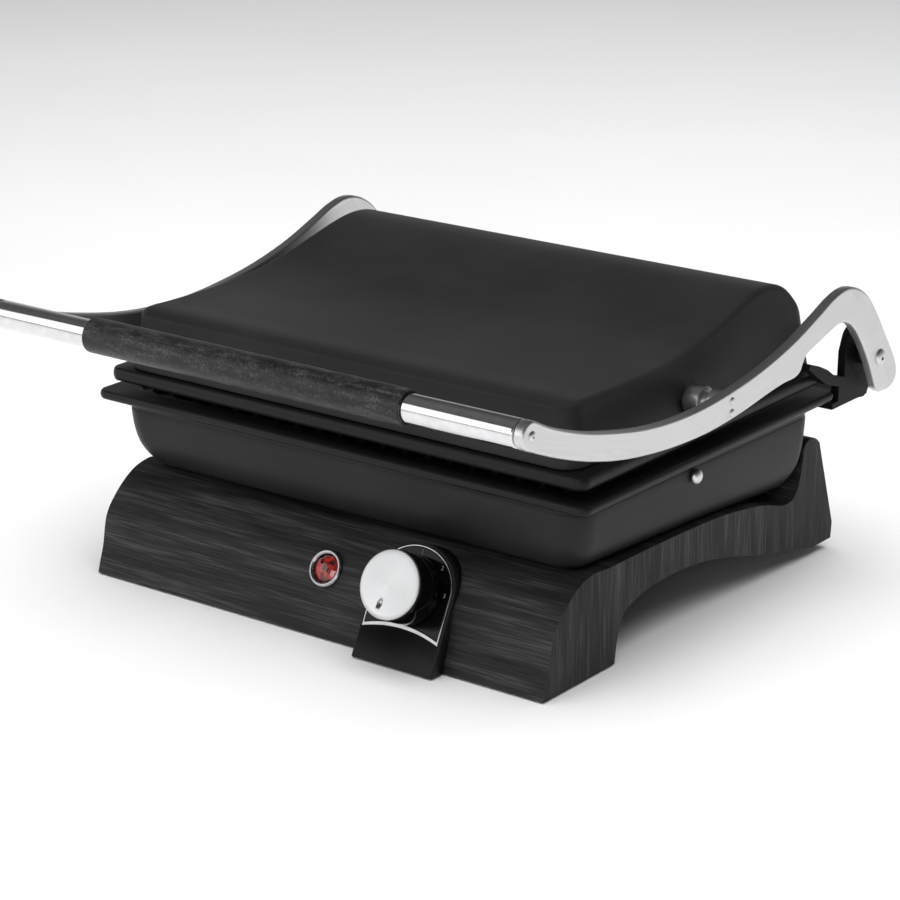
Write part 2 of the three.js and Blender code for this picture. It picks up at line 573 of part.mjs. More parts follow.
pair('lid_pivot', (side) => {
  const axis = new THREE.Vector3(side, 0, 0);
  let shape = turned(pivotProfile, new THREE.Vector3(0, LID_PIN.y, LID_PIN.z), axis);
  for (const { z } of RIVETS) {
    shape = shape.subtract(crossPin(RIVET_HOLE, side * 176, side * 190, LID_PIN.y, z, 12));
  }
  return shape;
}, CHROME);
for (const { name, z } of RIVETS) {
  pair(`pivot_rivet_${name}`,
    (side) => armFastener(side, LID_PIN.y, z, 2.3, 0.9, 1.4, 177), BRUSHED_STEEL);
}

const rodEnd = ARM_IN - GAP;
const rodHole = (side) => crossPin(
  HANDLE.screwHole, side * 166, side * 190, HANDLE.y, HANDLE.z, 12);
piece('handle_rod', crossPin(HANDLE.rodRadius, -rodEnd, rodEnd, HANDLE.y, HANDLE.z)
  .subtract(rodHole(1))
  .subtract(rodHole(-1)), CHROME);

const gripBore = HANDLE.rodRadius + GAP;
const gripProfile = [
  [gripBore, -HANDLE.gripHalf], [HANDLE.gripRadius - 1, -HANDLE.gripHalf],
  [HANDLE.gripRadius, -HANDLE.gripHalf + 2], [HANDLE.gripRadius, HANDLE.gripHalf - 2],
  [HANDLE.gripRadius - 1, HANDLE.gripHalf], [gripBore, HANDLE.gripHalf]];
piece('handle_grip', turned(closed(gripProfile),
  new THREE.Vector3(0, HANDLE.y, HANDLE.z), new THREE.Vector3(1, 0, 0)), GRAINED_BLACK);
pair('handle_screw',
  (side) => armFastener(side, HANDLE.y, HANDLE.z, 2.8, 1.2, 2, 168), CHROME);

// ---------------------------------------------------------------- hinge
const BRACKET_OUTLINE = [
  [281.5, 100.3], [312.5, 96.6], [317, 100], [319.5, 108], [317.5, 124],
  ...arc(300, 134.5, 9, 25, 155, 6), [288.2, 129.8], [287.8, 115], [276, 118.5], [267.9, 123.9],
  [258, 128.5], [247.4, 132.2], [245.5, 129.5], [256, 122], [268, 114.5], [281.5, 110.5]];
const TONGUE = [[274.4, 97.5], [316, 97.5], [316, 101.5], [274.4, 101.5]];
const TONGUE_IN = 120;
const SCREW_HOLE = 2.9;
const BUSH_RADIUS = 6;
const NUT = { radius: 5.6, in: 165.2 };

pair('hinge_bracket',
  (side) => acrossX(BRACKET_OUTLINE.slice().reverse(), side * BRACKET_IN, side * BRACKET_OUT)
    .add(acrossX(TONGUE, side * TONGUE_IN, side * BRACKET_OUT))
    .subtract(crossPin(SCREW_HOLE, side * 160, side * 180, HINGE.y, HINGE.z)), DARK_PLASTIC);

// Plain sleeve on the hinge screw, from x0 out to x1.
function hingeSleeve(side, radius, x0, x1, segments) {
  const profile = closed([[SCREW_HOLE, x0], [radius, x0], [radius, x1], [SCREW_HOLE, x1]]);
  const axis = new THREE.Vector3(side, 0, 0);
  return turned(profile, new THREE.Vector3(0, HINGE.y, HINGE.z), axis, segments);
}

pair('hinge_bush',
  (side) => hingeSleeve(side, BUSH_RADIUS, BRACKET_OUT + GAP, ARM_IN - GAP), DARK_PLASTIC);
pair('hinge_screw', (side) => armFastener(side, HINGE.y, HINGE.z, 5, 2, 2.5, 163.5), CHROME);
pair('hinge_nut', (side) => hingeSleeve(side, NUT.radius, NUT.in, BRACKET_IN - 0.4, 6), CHROME);

export default model;
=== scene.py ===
"""Panini press: a floating ribbed lid on two steel arms, over a lower grill housing and an arched base.

Sizes are in millimetres: x across the press, y back from the front edge of the base, z up from the
table. place() turns them into the frame's metres.
"""
import math
import bpy
import bmesh
from mathutils import Matrix, Vector


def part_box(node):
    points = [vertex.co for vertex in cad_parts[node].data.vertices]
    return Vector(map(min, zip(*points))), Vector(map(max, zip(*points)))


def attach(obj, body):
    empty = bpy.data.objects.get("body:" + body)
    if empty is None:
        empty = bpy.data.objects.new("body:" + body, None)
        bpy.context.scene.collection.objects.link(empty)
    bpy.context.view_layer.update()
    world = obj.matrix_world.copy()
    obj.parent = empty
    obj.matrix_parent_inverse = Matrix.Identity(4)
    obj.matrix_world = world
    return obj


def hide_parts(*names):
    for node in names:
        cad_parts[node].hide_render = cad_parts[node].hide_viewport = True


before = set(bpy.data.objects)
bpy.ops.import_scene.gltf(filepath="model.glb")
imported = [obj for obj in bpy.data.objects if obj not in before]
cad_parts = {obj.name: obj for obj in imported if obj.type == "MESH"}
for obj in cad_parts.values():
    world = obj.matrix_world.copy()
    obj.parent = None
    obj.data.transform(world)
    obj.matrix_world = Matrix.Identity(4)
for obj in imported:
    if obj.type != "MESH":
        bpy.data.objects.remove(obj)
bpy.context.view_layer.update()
scene = bpy.context.scene

MM = 0.001
FRONT_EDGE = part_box("base_housing")[0].y


def place(x, y, z):
    return Vector((x * MM, FRONT_EDGE + y * MM, z * MM))


def back_to_mm(point):
    return Vector((point.x / MM, (point.y - FRONT_EDGE) / MM, point.z / MM))


def node_box(node):
    """Lowest and highest corners of a CAD node, in millimetres."""
    low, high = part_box(node)
    return back_to_mm(low), back_to_mm(high)


# ---------------------------------------------------------------- camera
CAMERA_TURN = math.radians(37.04)      # round from the front, towards +X
CAMERA_RISE = math.radians(18.57)
CAMERA_LENS = 118.72
CAMERA_AT = Vector((1.00184, -1.32972, 0.63383))

camera = bpy.data.objects.new("camera", bpy.data.cameras.new("camera"))
scene.collection.objects.link(camera)
scene.camera = camera
camera.data.lens = CAMERA_LENS
camera.location = CAMERA_AT
facing_camera = Vector((math.sin(CAMERA_TURN) * math.cos(CAMERA_RISE),
                        -math.cos(CAMERA_TURN) * math.cos(CAMERA_RISE),
                        math.sin(CAMERA_RISE)))
camera.rotation_mode = "QUATERNION"
camera.rotation_quaternion = (-facing_camera).to_track_quat("-Z", "Y")

# ---------------------------------------------------------------- driving dimensions
BASE_HALF = 162.5
BASE_WALL = 2.6
BASE_FILLET = 3.2
SOLE = 1
TUB = {"half": 166, "front": 26.6, "rear": 274, "corner": 17, "top": 102.6}
SHELL_WALL = 2.4
LOWER_FLANGE = {"half": 176, "front": 17.5, "rear": 280, "corner": 7}
UPPER_FLANGE = {"half": 170.5, "front": 23.5, "rear": 277, "corner": 7}
LID = {"half": 161, "front": 27.5, "rear": 279, "corner": 13, "bottom": 122.4}
HANDLE = {"y": -49, "z": 169, "rod": 8, "grip": 10, "grip_half": 110.9}
HINGE = {"y": 307, "z": 124.8}
LID_PIN = {"y": 141, "z": 136}
ARM_IN = 182
ARM_OUT = 188.5
PANEL = {"x": 67.5, "foot": -11, "tilt": math.radians(26), "half": 28, "height": 71.5}
KNOB = {"x": 67.5, "along": 44.2, "lift": 1}
LAMP = {"x": 4.8, "y": 11.6, "z": 38, "tilt": math.radians(30), "lens": 8}
STUD = {"y": 140, "z": 91.5}
ACROSS = Vector((1, 0, 0))
UP = Vector((0, 0, 1))
BACK = Vector((0, 1, 0))


# ---------------------------------------------------------------- lines
def spline(points, steps):
    """Smooth run through a few given points of any dimension."""
    last = len(points) - 1
    run = []
    for i in range(steps + 1):
        along = last * i / steps
        k = min(int(along), last - 1)
        t = along - k
        p0, p1 = points[max(k - 1, 0)], points[k]
        p2, p3 = points[k + 1], points[min(k + 2, last)]
        run.append(tuple(
            b + 0.5 * t * (c - a + t * (2 * a - 5 * b + 4 * c - d + t * (3 * (b - c) + d - a)))
            for a, b, c, d in zip(p0, p1, p2, p3)))
    return run


def offset(path, distance):
    """Line moved sideways, to the left of its direction of travel when positive."""
    moved = []
    for i, (y, z) in enumerate(path):
        before, after = path[max(i - 1, 0)], path[min(i + 1, len(path) - 1)]
        way = Vector((after[0] - before[0], after[1] - before[1])).normalized()
        moved.append((y - way.y * distance, z + way.x * distance))
    return moved


def arc(centre, radius, start, end, steps):
    """Points round an arc, with its angles in degrees."""
    turns = [math.radians(start + (end - start) * i / steps) for i in range(steps + 1)]
    return [(centre[0] + radius * math.cos(a), centre[1] + radius * math.sin(a)) for a in turns]


def rounded_ring(half, front, rear, corner, corner_steps=10, side_steps=40):
    """Rounded rectangle seen from above: its right side from front to rear, then its left side back.

    Each point is x, y and how much it faces sideways, from 0 at front and rear to 1 at the sides."""
    front_arc = arc((half - corner, front + corner), corner, 270, 360, corner_steps)
    rear_arc = arc((half - corner, rear - corner), corner, 0, 90, corner_steps)
    start, end = front + corner, rear - corner
    side = [(half, start + (end - start) * i / side_steps) for i in range(1, side_steps)]
    right = []
    for i, (x, y) in enumerate(front_arc):
        right.append((x, y, math.sin(0.5 * math.pi * i / corner_steps) ** 2))
    right += [(x, y, 1) for x, y in side]
    for i, (x, y) in enumerate(rear_arc):
        right.append((x, y, math.cos(0.5 * math.pi * i / corner_steps) ** 2))
    return right + [(-x, y, s) for x, y, s in reversed(right)]


# ---------------------------------------------------------------- meshes
def new_object(name, bm, material):
    """Closed mesh with its faces outwards, linked to the scene."""
    bmesh.ops.remove_doubles(bm, verts=bm.verts, dist=0.002 * MM)
    bmesh.ops.recalc_face_normals(bm, faces=bm.faces)
    mesh = bpy.data.meshes.new(name)
    bm.to_mesh(mesh)
    bm.free()
    mesh.shade_smooth()
    mesh.materials.append(material)
    made = bpy.data.objects.new(name, mesh)
    scene.collection.objects.link(made)
    return made


def settle(made):
    """Applies the modifiers, so that the piece is one plain mesh."""
    bpy.context.view_layer.update()
    graph = bpy.context.evaluated_depsgraph_get()
    mesh = bpy.data.meshes.new_from_object(made.evaluated_get(graph), depsgraph=graph)
    mesh.name = made.name
    made.modifiers.clear()
    made.data = mesh
    return made


def soften(made, width, segments=3, angle=35):
    """Rounds the edges sharper than the angle, and evens out the shading beside them."""
    bevel = made.modifiers.new("rounded edges", "BEVEL")
    bevel.width = width * MM
    bevel.segments = segments
    bevel.limit_method = "ANGLE"
    bevel.angle_limit = math.radians(angle)
    bevel.miter_outer = "MITER_ARC"
    return even_shading(made)


def even_shading(made):
    """Lets the larger faces lead the shading, so that long flat strips stay flat."""
    made.modifiers.new("even shading", "WEIGHTED_NORMAL").keep_sharp = True
    return settle(made)


def round_some(made, width, segments, chosen):
    """Rounds only the edges whose two ends, in millimetres, pass the test."""
    bm = bmesh.new()
    bm.from_mesh(made.data)
    edges = [edge for edge in bm.edges if chosen(*(back_to_mm(v.co) for v in edge.verts))]
    bmesh.ops.bevel(bm, geom=edges, offset=width * MM, segments=segments, profile=0.5,
                    affect="EDGES", clamp_overlap=True)
    bm.to_mesh(made.data)
    bm.free()


def combine(made, tool, operation="DIFFERENCE"):
    """Cuts, joins or crosses a piece with another closed mesh, which is then removed."""
    boolean = made.modifiers.new("cut", "BOOLEAN")
    boolean.operation = operation
    boolean.object = tool
    boolean.solver = "EXACT"
    settle(made)
    bpy.data.objects.remove(tool)
    return made


def fit(made, body, slot, *nodes):
    """Hangs a finished piece on its body, in place of the CAD nodes it stands for."""
    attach(made, body)
    if nodes:
        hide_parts(*nodes)
    return made


def loft(name, rings, material):
    """Closed body through rings of points from rounded_ring, with flat strips closing both ends."""
    bm = bmesh.new()
    rows = [[bm.verts.new(place(*point)) for point in ring] for ring in rings]
    count = len(rows[0])
    for lower, upper in zip(rows, rows[1:]):
        for i in range(count):
            j = (i + 1) % count
            bm.faces.new((lower[i], lower[j], upper[j], upper[i]))
    for row in (rows[0], rows[-1]):
        for i in range(count // 2 - 1):
            bm.faces.new((row[i], row[i + 1], row[count - 2 - i], row[count - 1 - i]))
    return new_object(name, bm, material)


def prism(name, outline, origin, right, up, start, end, material):
    """Outline extruded along the normal of its plane, with its UV map in millimetres.

    On the rim U runs along the extrusion, so a grain along U crosses the rim from side to side."""
    normal = right.cross(up)
    bm = bmesh.new()
    uv = bm.loops.layers.uv.new("grain")
    ends = []
    for depth in (start, end):
        ends.append([bm.verts.new(place(*(origin + right * a + up * b + normal * depth)))
                     for a, b in outline])
    for row in ends:
        face = bm.faces.new(row)
        for loop, (a, b) in zip(face.loops, outline):
            loop[uv].uv = (b, a)
    count = len(outline)
    run = 0
    for i in range(count):
        j = (i + 1) % count
        step = math.dist(outline[i], outline[j])
        face = bm.faces.new((ends[0][i], ends[0][j], ends[1][j], ends[1][i]))
        corners = ((start, run), (start, run + step), (end, run + step), (end, run))
        for loop, corner in zip(face.loops, corners):
            loop[uv].uv = corner
        run += step
    return new_object(name, bm, material)


def across_press(name, outline, x0, x1, material):
    """Side outline of y and z, extruded across the press."""
    return prism(name, outline, Vector(), BACK, UP, min(x0, x1), max(x0, x1), material)


def turned(name, profile, start, axis, material, segments=64):
    """Body turned about an axis; the profile holds radius and distance along the axis.

    U runs once round and V along the profile, in millimetres."""
    turn = UP.rotation_difference(axis)
    bm = bmesh.new()
    uv = bm.loops.layers.uv.new("grain")
    rows = []
    for radius, along in profile:
        row = []
        for i in range(segments):
            angle = 2 * math.pi * i / segments
            spot = turn @ Vector((radius * math.cos(angle), radius * math.sin(angle), along))
            row.append(bm.verts.new(place(*(start + spot))))
        rows.append(row)
    run = 0
    for k in range(len(rows) - 1):
        step = math.dist(profile[k], profile[k + 1])
        for i in range(segments):
            j = (i + 1) % segments
            face = bm.faces.new((rows[k][i], rows[k][j], rows[k + 1][j], rows[k + 1][i]))
            corners = ((i, run), (i + 1, run), (i + 1, run + step), (i, run + step))
            for loop, (u, v) in zip(face.loops, corners):
                loop[uv].uv = (u / segments, v)
        run += step
    bmesh.ops.remove_doubles(bm, verts=bm.verts, dist=0.002 * MM)
    bmesh.ops.dissolve_degenerate(bm, edges=bm.edges, dist=0.001 * MM)
    return new_object(name, bm, material)


def ring_of(profile):
    return [*profile, profile[0]]


def rounded_profile(corners, radius, steps=4):
    """Profile of radius and distance with each inner corner rounded."""
    run = [corners[0]]
    for before, here, after in zip(corners, corners[1:], corners[2:]):
        before, here, after = Vector(before), Vector(here), Vector(after)
        reach = min(radius, (before - here).length * 0.45, (after - here).length * 0.45)
        a = here + (before - here).normalized() * reach
        b = here + (after - here).normalized() * reach
        for i in range(steps + 1):
            t = i / steps
            spot = a * (1 - t) ** 2 + here * 2 * t * (1 - t) + b * t * t
            run.append(tuple(spot))
    return [*run, corners[-1]]


# ---------------------------------------------------------------- material tools
def linear(hex_colour):
    """Linear colour of an sRGB hex value."""
    channels = [int(hex_colour[i:i + 2], 16) / 255 for i in (1, 3, 5)]
    return tuple(c / 12.92 if c <= 0.04045 else ((c + 0.055) / 1.055) ** 2.4 for c in channels) + (1,)


def add(tree, kind, inputs=None, **settings):
    """Adds a node with its settings, values and links."""
    node = tree.nodes.new(kind)
    for name, value in settings.items():
        setattr(node, name, value)
    for socket, value in (inputs or {}).items():
        if isinstance(value, bpy.types.NodeSocket):
            tree.links.new(value, node.inputs[socket])
        else:
            node.inputs[socket].default_value = value
    return node


def start_material(name, **shader_values):
    """New material with its tree, its shader and its shader's constant values."""
    material = bpy.data.materials.new(name)
    material.use_nodes = True
    tree = material.node_tree
    shader = tree.nodes["Principled BSDF"]
    for socket, value in shader_values.items():
        shader.inputs[socket.replace("_", " ")].default_value = value
    return material, tree, shader


def ramp(tree, value, stops):
    """Colour ramp from a value; stops are position and sRGB hex colour."""
    node = add(tree, "ShaderNodeValToRGB", {"Fac": value})
    elements = node.color_ramp.elements
    elements[0].position, elements[0].color = stops[0][0], linear(stops[0][1])
    elements[1].position, elements[1].color = stops[-1][0], linear(stops[-1][1])
    for position, colour in stops[1:-1]:
        elements.new(position).color = linear(colour)
    return node.outputs["Color"]


def paint(tree, shader, value, stops):
    """Base colour that follows a value."""
    tree.links.new(ramp(tree, value, stops), shader.inputs["Base Color"])


def roughen(tree, shader, value, low, high):
    """Roughness between low and high that follows a value from 0 to 1."""
    spread = add(tree, "ShaderNodeMapRange", {"Value": value, "To Min": low, "To Max": high})
    tree.links.new(spread.outputs["Result"], shader.inputs["Roughness"])


def grain(tree, along, across, detail=4):
    """Noise stretched along U of the piece's own UV map; sizes in millimetres."""
    uv = add(tree, "ShaderNodeUVMap", uv_map="grain")
    stretched = add(tree, "ShaderNodeMapping",
                    {"Vector": uv.outputs["UV"], "Scale": (1 / along, 1 / across, 1)})
    noise = add(tree, "ShaderNodeTexNoise",
                {"Vector": stretched.outputs["Vector"], "Scale": 1, "Detail": detail,
                 "Roughness": 0.6})
    return noise.outputs["Fac"]


def speckle(tree, size, detail=2, roughness=0.5):
    """Even noise in space, with a grain of the given size in millimetres."""
    where = add(tree, "ShaderNodeTexCoord")
    noise = add(tree, "ShaderNodeTexNoise",
                {"Vector": where.outputs["Object"], "Scale": 1 / (size * MM), "Detail": detail,
                 "Roughness": roughness})
    return noise.outputs["Fac"]


def bump(tree, shader, height, depth, strength=1, below=None):
    """Bump of the given depth in millimetres."""
    inputs = {"Height": height, "Distance": depth * MM, "Strength": strength}
    if below is not None:
        inputs["Normal"] = below
    node = add(tree, "ShaderNodeBump", inputs)
    tree.links.new(node.outputs["Normal"], shader.inputs["Normal"])
    return node.outputs["Normal"]


# ---------------------------------------------------------------- materials
def grained_abs():
    """ABS moulded with a fine wood grain: satin charcoal, with pale streaks along the grain."""
    material, tree, shader = start_material("moulded_grained_abs", IOR=1.5,
                                            Specular_IOR_Level=0.14)
    fibres = grain(tree, 38, 1.1, 6)
    bands = grain(tree, 120, 9, 3)
    mixed = add(tree, "ShaderNodeMath", {0: fibres, 1: bands}, operation="MULTIPLY").outputs[0]
    paint(tree, shader, mixed, [(0.12, "#171718"), (0.25, "#29292a"), (0.4, "#48484a")])
    roughen(tree, shader, fibres, 0.62, 0.38)
    pits = bump(tree, shader, speckle(tree, 0.8), 0.03)
    bump(tree, shader, fibres, 0.12, below=pits)
    return material


def powder_coat():
    """Die-cast aluminium powder coated in satin charcoal: soft sheen broken by a fine orange peel."""
    material, tree, shader = start_material("satin_powder_coat", IOR=1.5,
                                            Specular_IOR_Level=0.18)
    cloud = speckle(tree, 60, 3)
    paint(tree, shader, cloud, [(0.3, "#202021"), (0.7, "#272728")])
    peel = speckle(tree, 0.9, 3)
    roughen(tree, shader, peel, 0.38, 0.5)
    bump(tree, shader, peel, 0.03)
    return material


def non_stick():
    """Cast aluminium sprayed with PTFE: near-black, slick, with tiny pale flecks."""
    material, tree, shader = start_material("sprayed_ptfe_coating", IOR=1.4,
                                            Specular_IOR_Level=0.3)
    flecks = speckle(tree, 0.7, 4, 0.7)
    paint(tree, shader, flecks, [(0.5, "#0f0f10"), (0.72, "#1d1d1f")])
    roughen(tree, shader, flecks, 0.3, 0.46)
    bump(tree, shader, flecks, 0.04)
    return material


def mottled_phenolic():
    """Phenolic grip printed with a black wood figure: dark flecks and pale fibres along the bar."""
    material, tree, shader = start_material("mottled_phenolic_grip", IOR=1.55,
                                            Specular_IOR_Level=0.3)
    where = add(tree, "ShaderNodeTexCoord")
    stretched = add(tree, "ShaderNodeMapping", {"Vector": where.outputs["Object"],
                                                "Scale": (1 / (14 * MM), 1 / (3.5 * MM),
                                                          1 / (3.5 * MM))})
    figure = add(tree, "ShaderNodeTexNoise", {"Vector": stretched.outputs["Vector"], "Scale": 1,
                                              "Detail": 5, "Roughness": 0.65}).outputs["Fac"]
    fine = speckle(tree, 1.2, 3, 0.7)
    mixed = add(tree, "ShaderNodeMath", {0: figure, 1: fine}, operation="MULTIPLY").outputs[0]
    paint(tree, shader, mixed, [(0.16, "#101011"), (0.26, "#222223"), (0.38, "#444445")])
    roughen(tree, shader, fine, 0.34, 0.56)
    bump(tree, shader, mixed, 0.15)
    return material


def brushed_stainless():
    """Stainless sheet brushed along its length: soft bright grey with hair-fine lines."""
    material, tree, shader = start_material("brushed_stainless_sheet", Metallic=1, Anisotropic=0.4)
    lines = grain(tree, 60, 0.3, 3)
    paint(tree, shader, lines, [(0.3, "#cbcbcc"), (0.7, "#e0e0e1")])
    roughen(tree, shader, lines, 0.34, 0.46)
    bump(tree, shader, lines, 0.01)
    return material


def polished_steel(name="polished_steel", dark="#dcdcde", pale="#e9e9ea", low=0.07, high=0.14):
    """Steel buffed on a wheel: mirror bright, with faint buffing haze."""
    material, tree, shader = start_material(name, Metallic=1)
    haze = speckle(tree, 5, 3)
    paint(tree, shader, haze, [(0.3, dark), (0.7, pale)])
    roughen(tree, shader, haze, low, high)
    bump(tree, shader, haze, 0.01, 0.4)
    return material


def spun_aluminium():
    """Aluminium faced on a lathe and satin anodised: rings that fan the light into bright sectors."""
    material, tree, shader = start_material("spun_anodised_aluminium", Metallic=1, Anisotropic=0.75)
    uv = add(tree, "ShaderNodeUVMap", uv_map="grain")
    rings = add(tree, "ShaderNodeMapping", {"Vector": uv.outputs["UV"],
                                            "Scale": (0.5, 1 / 0.35, 1)})
    lines = add(tree, "ShaderNodeTexNoise", {"Vector": rings.outputs["Vector"], "Scale": 1,
                                             "Detail": 3}).outputs["Fac"]
    paint(tree, shader, lines, [(0.3, "#bbbcbd"), (0.7, "#c5c5c6")])
    roughen(tree, shader, lines, 0.24, 0.34)
    tangent = add(tree, "ShaderNodeTangent", direction_type="UV_MAP", uv_map="grain")
    tree.links.new(tangent.outputs["Tangent"], shader.inputs["Tangent"])
    bump(tree, shader, lines, 0.005)
    return material


def gloss_acrylic():
    """Acrylic moulded in a polished tool: deep black with a wet gloss and the odd hair scratch."""
    material, tree, shader = start_material("gloss_black_acrylic", IOR=1.49,
                                            Specular_IOR_Level=0.2)
    haze = speckle(tree, 8, 3)
    paint(tree, shader, haze, [(0.3, "#060607"), (0.7, "#0a0a0b")])
    roughen(tree, shader, haze, 0.05, 0.12)
    return material


def matt_abs(name="spark_eroded_abs", dark="#080808", pale="#0f0f10"):
    """ABS moulded in a spark-eroded tool: matt black with an even fine texture."""
    material, tree, shader = start_material(name, IOR=1.5, Specular_IOR_Level=0.18)
    pits = speckle(tree, 0.6, 3, 0.7)
    paint(tree, shader, pits, [(0.3, dark), (0.7, pale)])
    roughen(tree, shader, pits, 0.46, 0.62)
    bump(tree, shader, pits, 0.04)
    return material


def red_polycarbonate():
    """Clear red polycarbonate over a lamp: glossy and sparkling on its facets, with painted shade in its
    colour: random near-black patches among bright red ones stand in for the dark facets.
    """
    material, tree, shader = start_material("red_polycarbonate", IOR=1.58, Transmission_Weight=0.35,
                                            Coat_Weight=0.5, Coat_Roughness=0.05)
    # painted shade: this noise, named depth, sets random near-black patches among bright red ones in
    # place of the lens's dark facets; it does not follow the lens's thickness
    depth = speckle(tree, 4, 2)
    paint(tree, shader, depth, [(0.38, "#2c0504"), (0.55, "#c22f26")])
    roughen(tree, shader, depth, 0.06, 0.16)
    return material


def soft_rubber():
    """Nitrile rubber: dead matt black with a dusty bloom."""
    material, tree, shader = start_material("nitrile_rubber", IOR=1.52, Sheen_Weight=0.1)
    bloom = speckle(tree, 1.5, 4, 0.7)
    paint(tree, shader, bloom, [(0.3, "#121212"), (0.75, "#1e1e1e")])
    roughen(tree, shader, bloom, 0.72, 0.9)
    bump(tree, shader, bloom, 0.05)
    return material


def natural_nylon():
    """Unpigmented moulded nylon: waxy ivory, slightly translucent."""
    material, tree, shader = start_material("natural_nylon", IOR=1.53, Subsurface_Weight=0.1)
    flow = speckle(tree, 6, 3)
    paint(tree, shader, flow, [(0.3, "#cfcabc"), (0.7, "#dedacd")])
    roughen(tree, shader, flow, 0.4, 0.52)
    return material


def heat_tinted_steel():
    """Sheathed element of nickel steel after use: dull grey with straw and blue heat tints."""
    material, tree, shader = start_material("heat_tinted_steel", Metallic=1)
    tint = speckle(tree, 30, 2)
    paint(tree, shader, tint, [(0.3, "#5c5652"), (0.5, "#7a6650"), (0.7, "#4f5563")])
    roughen(tree, shader, speckle(tree, 1.2), 0.45, 0.6)
    return material


def mill_aluminium():
    """Aluminium sheet as rolled: pale grey with a broad soft shine."""
    material, tree, shader = start_material("mill_finish_aluminium", Metallic=1)
    roll = speckle(tree, 12, 4)
    paint(tree, shader, roll, [(0.3, "#b9babc"), (0.7, "#cccdcf")])
    roughen(tree, shader, roll, 0.32, 0.46)
    return material


def printed_ink():
    """Pad-printed grey ink: thin, matt and a little uneven."""
    material, tree, shader = start_material("pad_printed_ink", IOR=1.5)
    cover = speckle(tree, 0.5, 2)
    paint(tree, shader, cover, [(0.3, "#6d6e70"), (0.7, "#8b8c8e")])
    roughen(tree, shader, cover, 0.5, 0.65)
    return material


GRAINED_ABS = grained_abs()
POWDER_COAT = powder_coat()
NON_STICK = non_stick()
GRIP = mottled_phenolic()
STAINLESS = brushed_stainless()
POLISHED = polished_steel()
SATIN_STEEL = polished_steel("satin_turned_steel", "#d2d2d4", "#e0e0e1", 0.28, 0.4)
PLATED = polished_steel("plated_plastic_trim", "#9c9c9e", "#aeaeb0", 0.16, 0.26)
SPUN = spun_aluminium()
GLOSS = gloss_acrylic()
MATT_ABS = matt_abs()
PANEL_ABS = matt_abs("panel_abs", "#171718", "#212122")
LENS = red_polycarbonate()
RUBBER = soft_rubber()
NYLON = natural_nylon()
HEATER = heat_tinted_steel()
MILL = mill_aluminium()
INK = printed_ink()

# ---------------------------------------------------------------- base
FRONT_FACE = spline([(0, SOLE), (2, 8), (5, 17), (9, 35), (18, 46.5), (29, 55), (38, 59),
                     (47, 60.6)], 48)
CRADLE = spline([(62, 59.4), (110, 59), (174, 56.5), (218, 50.5), (244, 43.5), (256, 43.5)], 30)
TAIL = spline([(262, 50), (265.5, 62), (267, 72), (271, 76.4), (279, 76.4), (285, 72)], 30)
REAR_SOLE = 6
UNDERSIDE = [(282, REAR_SOLE), *spline(
    [(221, 19), (186, 28.5), (154, 34.5), (125, 36.4), (97, 35), (79, 29.5), (71.5, 20),
     (68, SOLE)], 44)]
BASE_OUTLINE = [*FRONT_FACE, *CRADLE, *TAIL, (304, 16), (303, REAR_SOLE), *UNDERSIDE]

# Each level of the tub: how far the wall has come in, its height, and how much lower its rear is.
TUB_PROFILE = spline([(21, 60, 14), (14, 62.5, 14), (8, 68, 14), (3.6, 76, 13), (1.4, 85, 10),
                      (0.4, 94, 5)], 36)
TUB_GROOVE = [(0.3, 96.8, 3.4), (0.85, 97.4, 3.1), (0.85, 98, 2.8), (0.25, 98.6, 2.4),
              (0, 99.6, 1.8), (0, 101.4, 0.7), (0.3, 102.2, 0.3), (0.9, 102.6, 0)]


def tub_ring(inward, z, drop, growth=0):
    ring = rounded_ring(TUB["half"] - inward + growth, TUB["front"] + inward - growth,
                        TUB["rear"] - inward + growth, TUB["corner"] - inward / 4, side_steps=12)
    front, length = TUB["front"], TUB["rear"] - TUB["front"]
    return [(x, y, z - drop * (y - front) / length) for x, y, _ in ring]


def on_cheek(a, b):
    """True for the edges between a cheek of the base and its front, top or tail."""
    outermost = min(abs(a.x), abs(b.x)) > BASE_HALF - 0.1 and abs(a.x - b.x) < 1
    upper = min(a.z, b.z) > 40 or (max(a.y, b.y) < 60 and max(a.z, b.z) > SOLE + 0.1)
    return outermost and upper and min(a.y, b.y) < 284


def base_housing():
    made = across_press("base_housing_shell", BASE_OUTLINE, -BASE_HALF, BASE_HALF, GRAINED_ABS)
    round_some(made, BASE_FILLET, 5, on_cheek)
    soften(made, 0.7, 2, 50)
    hollow_top = offset([*FRONT_FACE, *CRADLE[:-5]], -BASE_WALL)
    hollow = [(BASE_WALL, -5), *hollow_top, (246, 36), (290, 36), (298, 16), (299.5, -5)]
    inside = BASE_HALF - BASE_WALL
    combine(made, across_press("hollow", hollow, -inside, inside, GRAINED_ABS))
    clearance = 0.5
    pocket = loft("pocket", [tub_ring(*level, clearance) for level in TUB_PROFILE], GRAINED_ABS)
    combine(made, pocket)
    return made


fit(base_housing(), "base", "grained_black_plastic", "base_housing")


# ---------------------------------------------------------------- lower grill
def lower_housing():
    outside = [tub_ring(*level) for level in [*TUB_PROFILE, *TUB_GROOVE]]
    wall = [(inward + SHELL_WALL, z + SHELL_WALL * (z < 61), drop) for inward, z, drop in TUB_PROFILE]
    rim = [(SHELL_WALL, TUB["top"], 0)]
    inside = [tub_ring(*level) for level in [*rim, *reversed(wall)]]
    return even_shading(loft("lower_housing_shell", outside + inside, POWDER_COAT))


fit(lower_housing(), "base", "satin_black_paint", "lower_housing")

PLATE = {"edge": 1.8, "body": 13, "back": 3.5, "well": 16, "sunk": 2}


